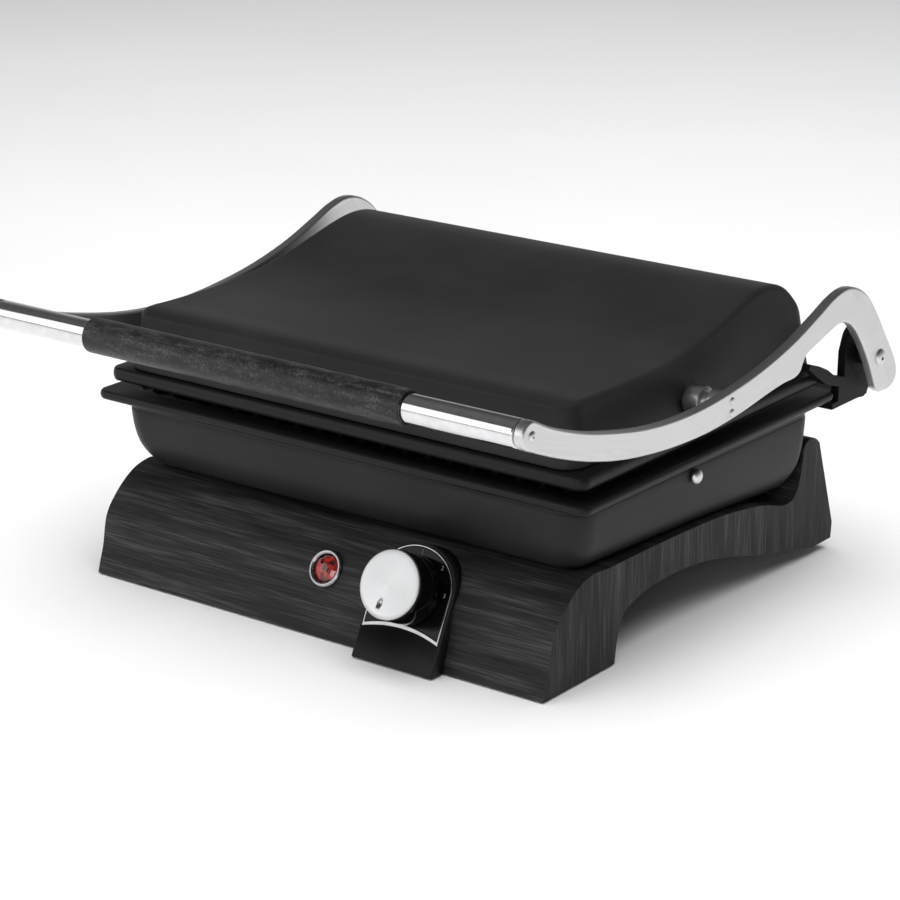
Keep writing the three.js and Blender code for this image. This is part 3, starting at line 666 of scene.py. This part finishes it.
def plate_rings(flange, face, back, up):
    """Rings of a grill plate from its back to its sunk cooking face; up is 1 or -1."""
    body, edge, well = PLATE["body"], PLATE["edge"], PLATE["well"]
    levels = [(body + 1, back - up * PLATE["back"], 8), (body, back - up * 2.5, 8),
              (body, back, 8)]
    middle, half_thick = (face + back) / 2, abs(face - back) / 2
    for i in range(9):
        turn = math.radians(-90 + 180 * i / 8)
        levels.append((edge * (1 - math.cos(turn)), middle + up * half_thick * math.sin(turn), 0))
    levels += [(well - 1.5, face, 4), (well, face - up * 0.4, 4),
               (well + 1.2, face - up * PLATE["sunk"], 4)]
    rings = []
    for inward, z, more in levels:
        corner = flange["corner"] + more if inward > edge else max(flange["corner"] - inward, 2)
        ring = rounded_ring(flange["half"] - inward, flange["front"] + inward,
                            flange["rear"] - inward, corner, side_steps=6)
        rings.append([(x, y, z) for x, y, _ in ring])
    return rings


def grill_plate(name, flange, node, up):
    low, high = node_box(node)
    face = high.z if up > 0 else low.z
    back = low.z + PLATE["back"] if up > 0 else high.z - PLATE["back"]
    return even_shading(loft(name, plate_rings(flange, face, back, up), NON_STICK))


# ---------------------------------------------------------------- geometry nodes tools
def new_tree(name, inputs):
    """Geometry nodes tree with named inputs for its sizes."""
    tree = bpy.data.node_groups.new(name, "GeometryNodeTree")
    for label, kind in inputs:
        tree.interface.new_socket(label, in_out="INPUT", socket_type=kind)
    tree.interface.new_socket("Geometry", in_out="OUTPUT", socket_type="NodeSocketGeometry")
    return tree, add(tree, "NodeGroupInput").outputs


def end_tree(tree, geometry, material):
    """Realizes the instances, gives them their material and ends the tree."""
    real = add(tree, "GeometryNodeRealizeInstances", {"Geometry": geometry})
    smooth = add(tree, "GeometryNodeSetShadeSmooth", {"Geometry": real.outputs["Geometry"]})
    painted = add(tree, "GeometryNodeSetMaterial",
                  {"Geometry": smooth.outputs["Geometry"], "Material": material})
    add(tree, "NodeGroupOutput", {"Geometry": painted.outputs["Geometry"]})
    return tree


def grow(name, tree, values, points=()):
    """Object made by a tree from its named values, and from loose points where it needs them."""
    mesh = bpy.data.meshes.new(name)
    mesh.from_pydata([tuple(place(*point)) for point in points], [], [])
    made = bpy.data.objects.new(name, mesh)
    scene.collection.objects.link(made)
    modifier = made.modifiers.new(name, "NODES")
    modifier.node_group = tree
    for item in tree.interface.items_tree:
        if item.in_out == "INPUT" and item.name in values:
            modifier[item.identifier] = values[item.name]
    return settle(made)


def rib_tree():
    """Row of round-topped grill ribs side by side along X, each running from front to rear."""
    tree, value = new_tree("grill ribs", [
        ("Count", "NodeSocketInt"), ("First", "NodeSocketVector"), ("Spacing", "NodeSocketFloat"),
        ("Length", "NodeSocketFloat"), ("Width", "NodeSocketFloat"), ("Height", "NodeSocketFloat")])
    step = add(tree, "ShaderNodeCombineXYZ", {"X": value["Spacing"]})
    row = add(tree, "GeometryNodeMeshLine", {"Count": value["Count"], "Start Location": value["First"],
                                             "Offset": step.outputs["Vector"]})
    far_end = add(tree, "ShaderNodeCombineXYZ", {"Y": value["Length"]})
    spine = add(tree, "GeometryNodeCurvePrimitiveLine", {"End": far_end.outputs["Vector"]})
    section = add(tree, "GeometryNodeCurvePrimitiveCircle", {"Resolution": 16, "Radius": 1.0})
    half_width = add(tree, "ShaderNodeMath", {0: value["Width"], 1: 0.5}, operation="MULTIPLY")
    shape = add(tree, "ShaderNodeCombineXYZ", {"X": half_width.outputs[0], "Y": value["Height"],
                                               "Z": 1.0})
    flat = add(tree, "GeometryNodeTransform", {"Geometry": section.outputs["Curve"],
                                               "Scale": shape.outputs["Vector"]})
    rib = add(tree, "GeometryNodeCurveToMesh", {"Curve": spine.outputs["Curve"],
                                                "Profile Curve": flat.outputs["Geometry"],
                                                "Fill Caps": True})
    ribs = add(tree, "GeometryNodeInstanceOnPoints", {"Points": row.outputs["Mesh"],
                                                      "Instance": rib.outputs["Mesh"]})
    return end_tree(tree, ribs.outputs["Instances"], NON_STICK)


RIB_TREE = rib_tree()
RIB = {"count": 20, "width": 4, "height": 1.95, "margin": 20, "end": 22}


def ribs(name, flange, root_z):
    span = 2 * (flange["half"] - RIB["margin"])
    spacing = span / RIB["count"]
    first = place(-span / 2 + spacing / 2, flange["front"] + RIB["end"], root_z)
    return grow(name, RIB_TREE, {
        "Count": RIB["count"], "First": first, "Spacing": spacing * MM,
        "Length": (flange["rear"] - flange["front"] - 2 * RIB["end"]) * MM,
        "Width": RIB["width"] * MM, "Height": RIB["height"] * MM})


for body, node, flange, up in (("base", "lower_plate", LOWER_FLANGE, 1),
                               ("lid", "upper_plate", UPPER_FLANGE, -1)):
    fit(grill_plate(f"{node}_casting", flange, node, up), body, "non_stick_coating", node)
    face = node_box(node)[1].z if up > 0 else node_box(node)[0].z
    fit(ribs(f"{node}_ribs", flange, face - up * PLATE["sunk"]), body, "non_stick_coating")

# ---------------------------------------------------------------- lid
LID_TOP = spline([
    (27.5, 146), (29.8, 152.5), (35, 156.4), (44, 158), (65, 157.3), (106, 157.2), (143, 160),
    (172, 165.5), (192, 170.5), (212, 175.5), (228, 178), (243, 177.2), (254, 173.5),
    (262, 166.5), (269, 157), (273, 146), (276.2, 139)], 256)
LID_DRAFT = ((LID["bottom"], 0), (140, 3), (182, 9))
LID_SIDE_EDGE = 3.8                    # radius of the rolled edge along the sides
LID_END_EDGE = 2.5                     # and along the front and rear
LID_WALL_STEPS = 8
LID_TOP_RINGS = [5, 6.5, 8, 9.5, 11, 13, 15, 18, 21, 25]


def lid_ring(inward):
    return rounded_ring(LID["half"] - inward, LID["front"] + inward, LID["rear"] - inward,
                        LID["corner"] - 0.6 * inward, 14, 72)


LID_FOOT = lid_ring(0)
LID_INWARD = [(b[0] - a[0], b[1] - a[1]) for a, b in zip(LID_FOOT, lid_ring(1))]


def lid_height(y):
    """Height of the lid's middle line at a distance y from the front."""
    for (y0, z0), (y1, z1) in zip(LID_TOP, LID_TOP[1:]):
        if y <= y1:
            return z0 + (z1 - z0) * max(y - y0, 0) / (y1 - y0)
    return LID_TOP[-1][1]


def draft(z):
    """How far the lid's wall has come in at a height."""
    (z0, in0), (z1, in1) = LID_DRAFT[:2] if z < LID_DRAFT[1][0] else LID_DRAFT[1:]
    return in0 + (in1 - in0) * (z - z0) / (z1 - z0)


def lid_spot(i, inward):
    """Place number i on the lid's outline, moved in by a distance, and how much it faces sideways."""
    x, y, side = LID_FOOT[i]
    return x + LID_INWARD[i][0] * inward, y + LID_INWARD[i][1] * inward, side


def edge_radius(side):
    return LID_END_EDGE + (LID_SIDE_EDGE - LID_END_EDGE) * side


def edge_drop(radius, inward):
    """How far a rolled edge lies below the top, at a distance in from the wall."""
    short = max(radius - inward, 0)
    return radius - math.sqrt(radius * radius - short * short)


def lid_shoulder(i):
    """Height at which the wall meets the rolled edge."""
    z = 150
    for _ in range(4):
        _, y, side = lid_spot(i, draft(z))
        z = lid_height(y) - edge_radius(side)
    return z


def lid_skin(shrink):
    """Rings up the wall, over the rolled edge and across the top; shrink makes the inner skin."""
    shoulders = [lid_shoulder(i) for i in range(len(LID_FOOT))]
    rings = []
    for step in range(LID_WALL_STEPS + 1):
        ring = []
        for i, shoulder in enumerate(shoulders):
            z = LID["bottom"] + (shoulder - shrink - LID["bottom"]) * step / LID_WALL_STEPS
            x, y, _ = lid_spot(i, draft(z) + shrink)
            ring.append((x, y, z))
        rings.append(ring)
    rolled = [LID_SIDE_EDGE * (1 - math.cos(math.radians(90 * k / 8))) for k in range(1, 9)]
    for inward in [*rolled, *LID_TOP_RINGS]:
        ring = []
        for i, shoulder in enumerate(shoulders):
            x, y, side = lid_spot(i, draft(shoulder) + shrink + inward)
            ring.append((x, y, lid_height(y) - edge_drop(edge_radius(side), inward) - shrink))
        rings.append(ring)
    return rings


def lid_housing():
    lip = 0.7
    foot = [(*lid_spot(i, lip)[:2], LID["bottom"]) for i in range(len(LID_FOOT))]
    outside = lid_skin(0)
    outside[0] = [(x, y, z + lip) for x, y, z in outside[0]]
    rings = [*reversed(lid_skin(SHELL_WALL)), foot, *outside]
    return even_shading(loft("lid_shell", rings, POWDER_COAT))


fit(lid_housing(), "lid", "satin_black_paint", "lid_housing")

# ---------------------------------------------------------------- arms
# Upper and lower edges of an arm in the side view, with its rounded tip behind. The bar widens
# behind the lid pin, and a small lug under it rests in the hook of its hinge bracket.
ARM_TOP = spline([
    (-45.5, 176.2), (-28.7, 168.2), (-1.9, 158.8), (25.6, 151.8), (53.9, 146.3), (83, 143.3),
    (112, 143), (143.3, 145.5), (174.6, 150.2), (206.4, 158), (232.8, 167.4), (249, 173.6),
    (263, 176.3), (276, 174.2), (288.9, 167.2), (300.2, 155.4), (312.2, 139.3), (324, 123)], 136)
ARM_TIP = spline([(327.7, 116.5), (329, 110), (326, 104.5), (319, 102), (309.5, 102.4)], 20)
ARM_UNDER = spline([
    (304.5, 105.5), (295.4, 123.2), (283.6, 140.7), (272.4, 152), (260.7, 156.4), (248, 154.6),
    (235.2, 150.8), (222, 147), (217.5, 142.5), (214.5, 138), (208.5, 135.8), (197.2, 135.5),
    (181, 133.8), (149.4, 129.3), (118.6, 127), (88.4, 127.5), (59.1, 130), (30.5, 134.5),
    (2.6, 141.4), (-24.4, 150.3), (-46, 159)], 160)
SIDES = {"left": -1, "right": 1}


def lay_grain(made, line):
    """UV map in millimetres with U along a line in the side view and V away from it."""
    runs = [0]
    for a, b in zip(line, line[1:]):
        runs.append(runs[-1] + math.dist(a, b))
    spots = []
    for vertex in made.data.vertices:
        here = back_to_mm(vertex.co)
        k = min(range(len(line)), key=lambda n: math.dist(line[n], (here.y, here.z)))
        spots.append((runs[k], math.dist(line[k], (here.y, here.z)) + here.x))
    layer = made.data.uv_layers["grain"].uv
    for loop in made.data.loops:
        layer[loop.index].vector = spots[loop.vertex_index]


def arm(name, side):
    nose = arc((HANDLE["y"], HANDLE["z"]), HANDLE["rod"], 258, 70, 24)
    outline = [*nose, *ARM_TOP, *ARM_TIP, *ARM_UNDER]
    made = across_press(name, outline, side * ARM_IN, side * ARM_OUT, STAINLESS)
    soften(made, 1.5, 4, 50)
    lay_grain(made, [*ARM_TOP, *ARM_TIP])
    return made


for side_name, side in SIDES.items():
    fit(arm(f"steel_arm_{side_name}", side), "arms", "brushed_steel", f"arm_{side_name}")


# ---------------------------------------------------------------- handle
def across(name, profile, side, y, z, material, segments=64):
    """Body turned about a line across the press; distances grow outwards on the given side."""
    return turned(name, profile, Vector((0, y, z)), ACROSS * side, material, segments)


ROD_END = ARM_IN - 0.3
rod = [(0, -ROD_END), (HANDLE["rod"], -ROD_END), (HANDLE["rod"], ROD_END), (0, ROD_END)]
fit(across("handle_bar", rounded_profile(rod, 1.2), 1, HANDLE["y"], HANDLE["z"], POLISHED),
    "arms", "chrome", "handle_rod")
grip_bore = HANDLE["rod"] + 0.3
grip = [(grip_bore, -HANDLE["grip_half"]), (HANDLE["grip"], -HANDLE["grip_half"]),
        (HANDLE["grip"], HANDLE["grip_half"]), (grip_bore, HANDLE["grip_half"])]
fit(across("handle_sleeve", ring_of(rounded_profile(grip, 1.6)), 1, HANDLE["y"], HANDLE["z"], GRIP),
    "arms", "wood_look_grip", "handle_grip")


# ---------------------------------------------------------------- rivets and screws
def dome_tree():
    """Domed rivet heads, one on each point, facing outwards along X."""
    tree, value = new_tree("domed heads", [
        ("Geometry", "NodeSocketGeometry"), ("Radius", "NodeSocketFloat"),
        ("Height", "NodeSocketFloat")])
    ball = add(tree, "GeometryNodeMeshUVSphere", {"Segments": 32, "Rings": 16, "Radius": 1.0})
    size = add(tree, "ShaderNodeCombineXYZ", {"X": value["Height"], "Y": value["Radius"],
                                              "Z": value["Radius"]})
    head = add(tree, "GeometryNodeTransform", {"Geometry": ball.outputs["Mesh"],
                                               "Scale": size.outputs["Vector"]})
    heads = add(tree, "GeometryNodeInstanceOnPoints", {"Points": value["Geometry"],
                                                       "Instance": head.outputs["Geometry"]})
    return end_tree(tree, heads.outputs["Instances"], STAINLESS)


RIVET_RISE = 3.4
rivets = [(side * ARM_OUT, LID_PIN["y"], LID_PIN["z"] + rise)
          for side in SIDES.values() for rise in (-RIVET_RISE, RIVET_RISE)]
fit(grow("pivot_rivet_heads", dome_tree(), {"Radius": 2.3 * MM, "Height": 0.9 * MM}, rivets),
    "arms", "brushed_steel", "pivot_rivet_lower_left", "pivot_rivet_lower_right",
    "pivot_rivet_upper_left", "pivot_rivet_upper_right")


def socket_screw(name, side, y, z, head, height, shank, tip):
    """Screw with a domed head and a hexagon socket, put in from outside an arm."""
    seat = ARM_OUT + 0.05
    profile = [(0, tip), (shank, tip), (shank, seat), (head, seat)]
    dome = [(head * math.cos(math.radians(a)), seat + height * math.sin(math.radians(a)))
            for a in range(10, 91, 10)]
    made = across(name, [*profile, *dome], side, y, z, SATIN_STEEL, 48)
    recess = [(0, seat + height * 0.35), (head * 0.36, seat + height * 0.35),
              (head * 0.36, seat + height + 2), (0, seat + height + 2)]
    return combine(made, across("socket", recess, side, y, z, SATIN_STEEL, 6))


for side_name, side in SIDES.items():
    fit(socket_screw(f"handle_end_screw_{side_name}", side, HANDLE["y"], HANDLE["z"], 2.8, 1.2, 2, 168),
        "arms", "chrome", f"handle_screw_{side_name}")
    fit(socket_screw(f"hinge_bolt_{side_name}", side, HINGE["y"], HINGE["z"], 5, 2.1, 2.5, 163.5),
        "base", "chrome", f"hinge_screw_{side_name}")
    spacer = [(0, 148.2), (4, 148.2), (4, 161), (8.6, 161), (8.6, 171), (5, 171), (5, 175.6),
              (8.2, 175.6), (8.2, ARM_IN - 0.3), (0, ARM_IN - 0.3)]
    fit(across(f"lid_pivot_spacer_{side_name}", rounded_profile(spacer, 0.6), side, LID_PIN["y"],
               LID_PIN["z"], SATIN_STEEL), "arms", "chrome", f"lid_pivot_{side_name}")
    stud = [(0, 157.4), (2.2, 157.4), (2.2, 166.3), (4.4, 166.3), (4.5, 167.4), (4.1, 168.6),
            (3.2, 169.5), (1.7, 170.1), (0, 170.2)]
    fit(across(f"tub_stud_{side_name}", rounded_profile(stud, 0.5), side, STUD["y"], STUD["z"],
               SATIN_STEEL), "base", "chrome", f"side_stud_{side_name}")

# ---------------------------------------------------------------- hinge brackets
BRACKET_IN, BRACKET_OUT = 170.6, 176
BRACKET_OUTLINE = [
    (281.5, 100.3), (312.5, 96.6), (317, 100), (319.5, 108), (317.5, 124),
    *arc((300, 134.5), 9, 25, 155, 18), (288.2, 129.8), (287.8, 115), (276, 118.5),
    (267.9, 123.9), (258, 128.5), (247.4, 132.2), (245.5, 129.5), (256, 122), (268, 114.5),
    (281.5, 110.5)]
TONGUE = [(274.4, 97.5), (316, 97.5), (316, 101.5), (274.4, 101.5)]
TONGUE_IN = 120
for side_name, side in SIDES.items():
    bracket = across_press(f"hinge_arm_bracket_{side_name}", BRACKET_OUTLINE, side * BRACKET_IN,
                           side * BRACKET_OUT, MATT_ABS)
    combine(bracket, across_press("tongue", TONGUE, side * TONGUE_IN, side * BRACKET_OUT, MATT_ABS),
            "UNION")
    fit(soften(bracket, 0.9, 3, 25), "base", "dark_plastic", f"hinge_bracket_{side_name}")

# ---------------------------------------------------------------- control panel
PANEL_UP = Vector((0, math.sin(PANEL["tilt"]), math.cos(PANEL["tilt"])))
PANEL_OUT = Vector((0, -math.cos(PANEL["tilt"]), math.sin(PANEL["tilt"])))
PANEL_FOOT = Vector((PANEL["x"], PANEL["foot"], SOLE))
SHOULDER = 46


def panel_point(x, along, out):
    """Point on the sloping panel: x across the press, along up its face and out in front of it."""
    return Vector((x, PANEL["foot"], SOLE)) + PANEL_UP * along + PANEL_OUT * out


def shield(inset, foot, bow):
    """Outline of the panel drawn in by inset, with its foot line bowed upwards in the middle."""
    half = PANEL["half"] - inset
    rise = PANEL["height"] - SHOULDER - inset
    arch = [(half * math.cos(math.pi * i / 48), SHOULDER + rise * math.sin(math.pi * i / 48))
            for i in range(49)]
    foot_line = [(half * u / 12, foot + bow * (1 - (u / 12) ** 2)) for u in range(-12, 13)]
    return [*arch, *foot_line]


def on_panel(name, outline, back, front, material):
    return prism(name, outline, PANEL_FOOT, ACROSS, PANEL_UP, back, front, material)


def behind_front():
    """Everything behind the front face of the base, with a little air."""
    outline = [*offset(FRONT_FACE, 0.3), (70, 60.9), (70, -10), (-0.3, -10)]
    return across_press("behind", outline, -BASE_HALF, BASE_HALF, PANEL_ABS)


def below_sole():
    return across_press("below", [(-60, -60), (60, -60), (60, SOLE), (-60, SOLE)],
                        -BASE_HALF, BASE_HALF, PANEL_ABS)


TRIM = {"inset": 1.4, "side": 1.4, "band": 2.8, "foot": 17.8, "bow": 4.2, "recess": 1.5, "gap": 0.3}


def control_panel():
    made = on_panel("panel_surround", shield(0, 0, 0), -35, 0, PANEL_ABS)
    soften(made, 0.8, 3, 50)
    combine(made, on_panel("recess", shield(TRIM["inset"], TRIM["foot"], TRIM["bow"]),
                           -TRIM["recess"], 5, PANEL_ABS))
    combine(made, behind_front())
    return combine(made, below_sole())


def panel_trim():
    outer, inner = TRIM["inset"] + TRIM["gap"], TRIM["inset"] + TRIM["side"]
    made = on_panel("chrome_trim_line", shield(outer, TRIM["foot"] + TRIM["gap"], TRIM["bow"]),
                    TRIM["gap"] - TRIM["recess"], 0.3, PLATED)
    combine(made, on_panel("middle", shield(inner, TRIM["foot"] + TRIM["band"], TRIM["bow"]),
                           -5, 5, PLATED))
    return soften(made, 0.4, 3, 50)


def panel_face():
    clear = 0.1
    inset = TRIM["inset"] + TRIM["side"] + clear
    foot = TRIM["foot"] + TRIM["band"] + clear
    made = on_panel("gloss_dial_plate", shield(inset, foot, TRIM["bow"]),
                    TRIM["gap"] - TRIM["recess"], -0.1, GLOSS)
    return soften(made, 0.25, 2, 50)


fit(control_panel(), "base", "dark_plastic", "control_panel")
fit(panel_trim(), "base", "chrome", "panel_trim")
fit(panel_face(), "base", "gloss_black_plastic", "panel_face")


def dial_mark(text, angle, reach, height):
    """Printed figure on the dial plate, upright, at an angle round the knob."""
    curve = bpy.data.curves.new("figure", "FONT")
    curve.body = text
    curve.size = height * MM
    curve.extrude = 0.03 * MM
    curve.align_x = "CENTER"
    curve.align_y = "CENTER"
    letter = bpy.data.objects.new("figure", curve)
    scene.collection.objects.link(letter)
    settled = bpy.data.meshes.new_from_object(letter)
    bpy.data.objects.remove(letter)
    turn = math.radians(angle)
    spot = panel_point(KNOB["x"] + reach * math.cos(turn), KNOB["along"] + reach * math.sin(turn), -0.07)
    axes = Matrix((ACROSS, PANEL_UP, PANEL_OUT)).transposed().to_4x4()
    settled.transform(Matrix.Translation(place(*spot)) @ axes)
    return settled


def dial_marks():
    bm = bmesh.new()
    for text, angle, reach in (("1", 89, 21.9), ("2", 45, 22.6), ("3", 4, 22)):
        figure = dial_mark(text, angle, reach, 3.6)
        bm.from_mesh(figure)
        bpy.data.meshes.remove(figure)
    mesh = bpy.data.meshes.new("dial_figures")
    bm.to_mesh(mesh)
    bm.free()
    mesh.materials.clear()
    mesh.materials.append(INK)
    made = bpy.data.objects.new("dial_figures", mesh)
    scene.collection.objects.link(made)
    return made


fit(dial_marks(), "base", "gloss_black_plastic")

# ---------------------------------------------------------------- knob
KNOB_BODY = [(0, 0), (19, 0), (19.7, 0.4), (20, 1.2), (19.95, 8), (19.8, 18.4), (19.5, 19.1),
             (18.9, 19.5), (0, 19.55)]
KNOB_CAP = [(0, 19.9), (19.2, 19.9), (19.7, 20.1), (19.8, 20.45), (19.6, 20.8), (19, 21),
            (16, 21.12), (12, 21.2), (8, 21.24), (4, 21.27), (0, 21.28)]
DIMPLE = {"reach": 11.2, "angle": math.radians(-104), "radius": 1.6, "deep": 20.3}


def knob_part(name, profile, material):
    return turned(name, profile, panel_point(KNOB["x"], KNOB["along"], KNOB["lift"]), PANEL_OUT,
                  material, 96)


def knob_cap():
    made = knob_part("spun_knob_cap", KNOB_CAP, SPUN)
    spot = panel_point(KNOB["x"] + DIMPLE["reach"] * math.cos(DIMPLE["angle"]),
                       KNOB["along"] + DIMPLE["reach"] * math.sin(DIMPLE["angle"]), KNOB["lift"])
    pit = [(0, DIMPLE["deep"]), (1.1, DIMPLE["deep"]), (DIMPLE["radius"], 20.8),
           (DIMPLE["radius"], 23), (0, 23)]
    return combine(made, turned("dimple", pit, spot, PANEL_OUT, SPUN, 32))


fit(knob_part("knob_body", KNOB_BODY, GLOSS), "knob", "gloss_black_plastic", "temperature_knob")
fit(knob_cap(), "knob", "turned_aluminium", "knob_cap")

# ---------------------------------------------------------------- pilot lamp
LAMP_OUT = Vector((0, -math.cos(LAMP["tilt"]), math.sin(LAMP["tilt"])))
LAMP_CENTRE = Vector((LAMP["x"], LAMP["y"], LAMP["z"]))
bezel = ring_of([(8.2, -3), (11, -3), (11, 1), (10.9, 1.9), (10.5, 2.6), (9.9, 2.9), (9.2, 2.8),
                 (8.6, 2.4), (8.2, 1.6)])
fit(turned("lamp_ring", bezel, LAMP_CENTRE, LAMP_OUT, PLATED, 72), "base", "chrome", "lamp_bezel")


def lamp_lens():
    """Low dome cut into flat facets, like a gem."""
    made = turned("faceted_lens", [(0, -1), (7.9, -1), (7.9, 1.2), (5.6, 2.6), (2.6, 3.5), (0, 3.7)],
                  LAMP_CENTRE, LAMP_OUT, LENS, 10)
    made.data.shade_flat()
    return soften(made, 0.25, 2, 12)


fit(lamp_lens(), "base", "red_lens", "lamp_lens")

# ---------------------------------------------------------------- feet
for foot in ("foot_front_left", "foot_front_right", "foot_rear_left", "foot_rear_right"):
    low, high = node_box(foot)
    ledge = high.z - 1.5
    head = (high.x - low.x) / 2
    stem = head - 2
    middle = Vector(((low.x + high.x) / 2, (low.y + high.y) / 2, 0))
    profile = [(0, 0.6), (stem * 0.45, 0.6), (stem * 0.6, 0), (stem, 0), (stem, ledge), (head, ledge),
               (head, high.z), (0, high.z)]
    fit(turned(f"rubber_{foot}", rounded_profile(profile, 0.5), middle, UP, RUBBER, 48),
        "base", "rubber", foot)

# ---------------------------------------------------------------- pieces whose CAD shape is right
KEPT = {
    MATT_ABS: ("base_cover", "hinge_bush_left", "hinge_bush_right"),
    RUBBER: ("cord_gland", "lower_lead_gland", "upper_lead_gland"),
    POLISHED: ("cover_screw_front_left", "cover_screw_front_right", "hinge_nut_left",
               "hinge_nut_right"),
    NYLON: ("terminal_block", "wire_bush", "thermostat", "lamp_holder", "lid_bush_left",
            "lid_bush_right"),
    HEATER: ("lower_heater", "upper_heater"),
    MILL: ("lower_reflector", "upper_reflector", "thermostat_shaft"),
}
for material, nodes in KEPT.items():
    for node in nodes:
        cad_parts[node].data.materials.clear()
        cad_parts[node].data.materials.append(material)


# ---------------------------------------------------------------- floor and light
def pale_floor():
    material, tree, shader = start_material("pale_matt_floor")
    cloud = speckle(tree, 300, 2)
    paint(tree, shader, cloud, [(0.3, "#f4f4f4"), (0.7, "#f7f7f7")])
    shader.inputs["Roughness"].default_value = 0.8
    mesh = bpy.data.meshes.new("floor")
    reach = 8
    mesh.from_pydata([(-reach, -reach, 0), (reach, -reach, 0), (reach, reach, 0), (-reach, reach, 0)],
                     [], [(0, 1, 2, 3)])
    mesh.materials.append(material)
    made = bpy.data.objects.new("floor", mesh)
    scene.collection.objects.link(made)


def softbox(name, at, aim, width, height, power, mirrored=True):
    """Rectangular soft light aimed at a point."""
    light = bpy.data.lights.new(name, "AREA")
    light.shape = "RECTANGLE"
    light.size, light.size_y = width, height
    light.energy = power
    made = bpy.data.objects.new(name, light)
    scene.collection.objects.link(made)
    made.location = at
    made.rotation_mode = "QUATERNION"
    made.rotation_quaternion = (Vector(at) - Vector(aim)).to_track_quat("Z", "Y")
    made.visible_glossy = mirrored


pale_floor()
PRESS_MIDDLE = (0, 0, 0.09)
softbox("overhead", (0.2, 0.1, 2.2), PRESS_MIDDLE, 3.2, 3.0, 82, mirrored=False)
softbox("front_left", (-1.4, -2.0, 1.1), PRESS_MIDDLE, 2.4, 1.6, 15)
softbox("front_right", (0.9, -2.2, 0.5), (0.1, -0.2, 0.05), 0.8, 0.6, 5)


def studio_walls():
    """Room light: pale low walls under a grey ceiling, darker towards the right and the rear."""
    world = bpy.data.worlds.new("studio")
    scene.world = world
    world.use_nodes = True
    tree = world.node_tree
    way = add(tree, "ShaderNodeTexCoord")
    parts = add(tree, "ShaderNodeSeparateXYZ", {"Vector": way.outputs["Generated"]})
    height = ramp(tree, parts.outputs["Z"], [
        (0, "#f2f2f2"), (0.22, "#dcdcdc"), (0.42, "#8a8a8a"), (0.6, "#585858"), (1, "#6c6c6c")])
    right = add(tree, "ShaderNodeMapRange", {"Value": parts.outputs["X"], "From Min": 0.1,
                                             "From Max": 0.85, "To Min": 1.0, "To Max": 0.5})
    rear = add(tree, "ShaderNodeMapRange", {"Value": parts.outputs["Y"], "From Min": 0.1,
                                            "From Max": 0.7, "To Min": 1.0, "To Max": 0.6})
    dimmed = add(tree, "ShaderNodeMath", {0: right.outputs["Result"], 1: rear.outputs["Result"]},
                 operation="MULTIPLY")
    shaded = add(tree, "ShaderNodeVectorMath", {0: height, "Scale": dimmed.outputs[0]},
                 operation="SCALE")
    background = tree.nodes["Background"]
    tree.links.new(shaded.outputs["Vector"], background.inputs["Color"])
    background.inputs["Strength"].default_value = 0.95


studio_walls()
scene.view_settings.view_transform = "Standard"
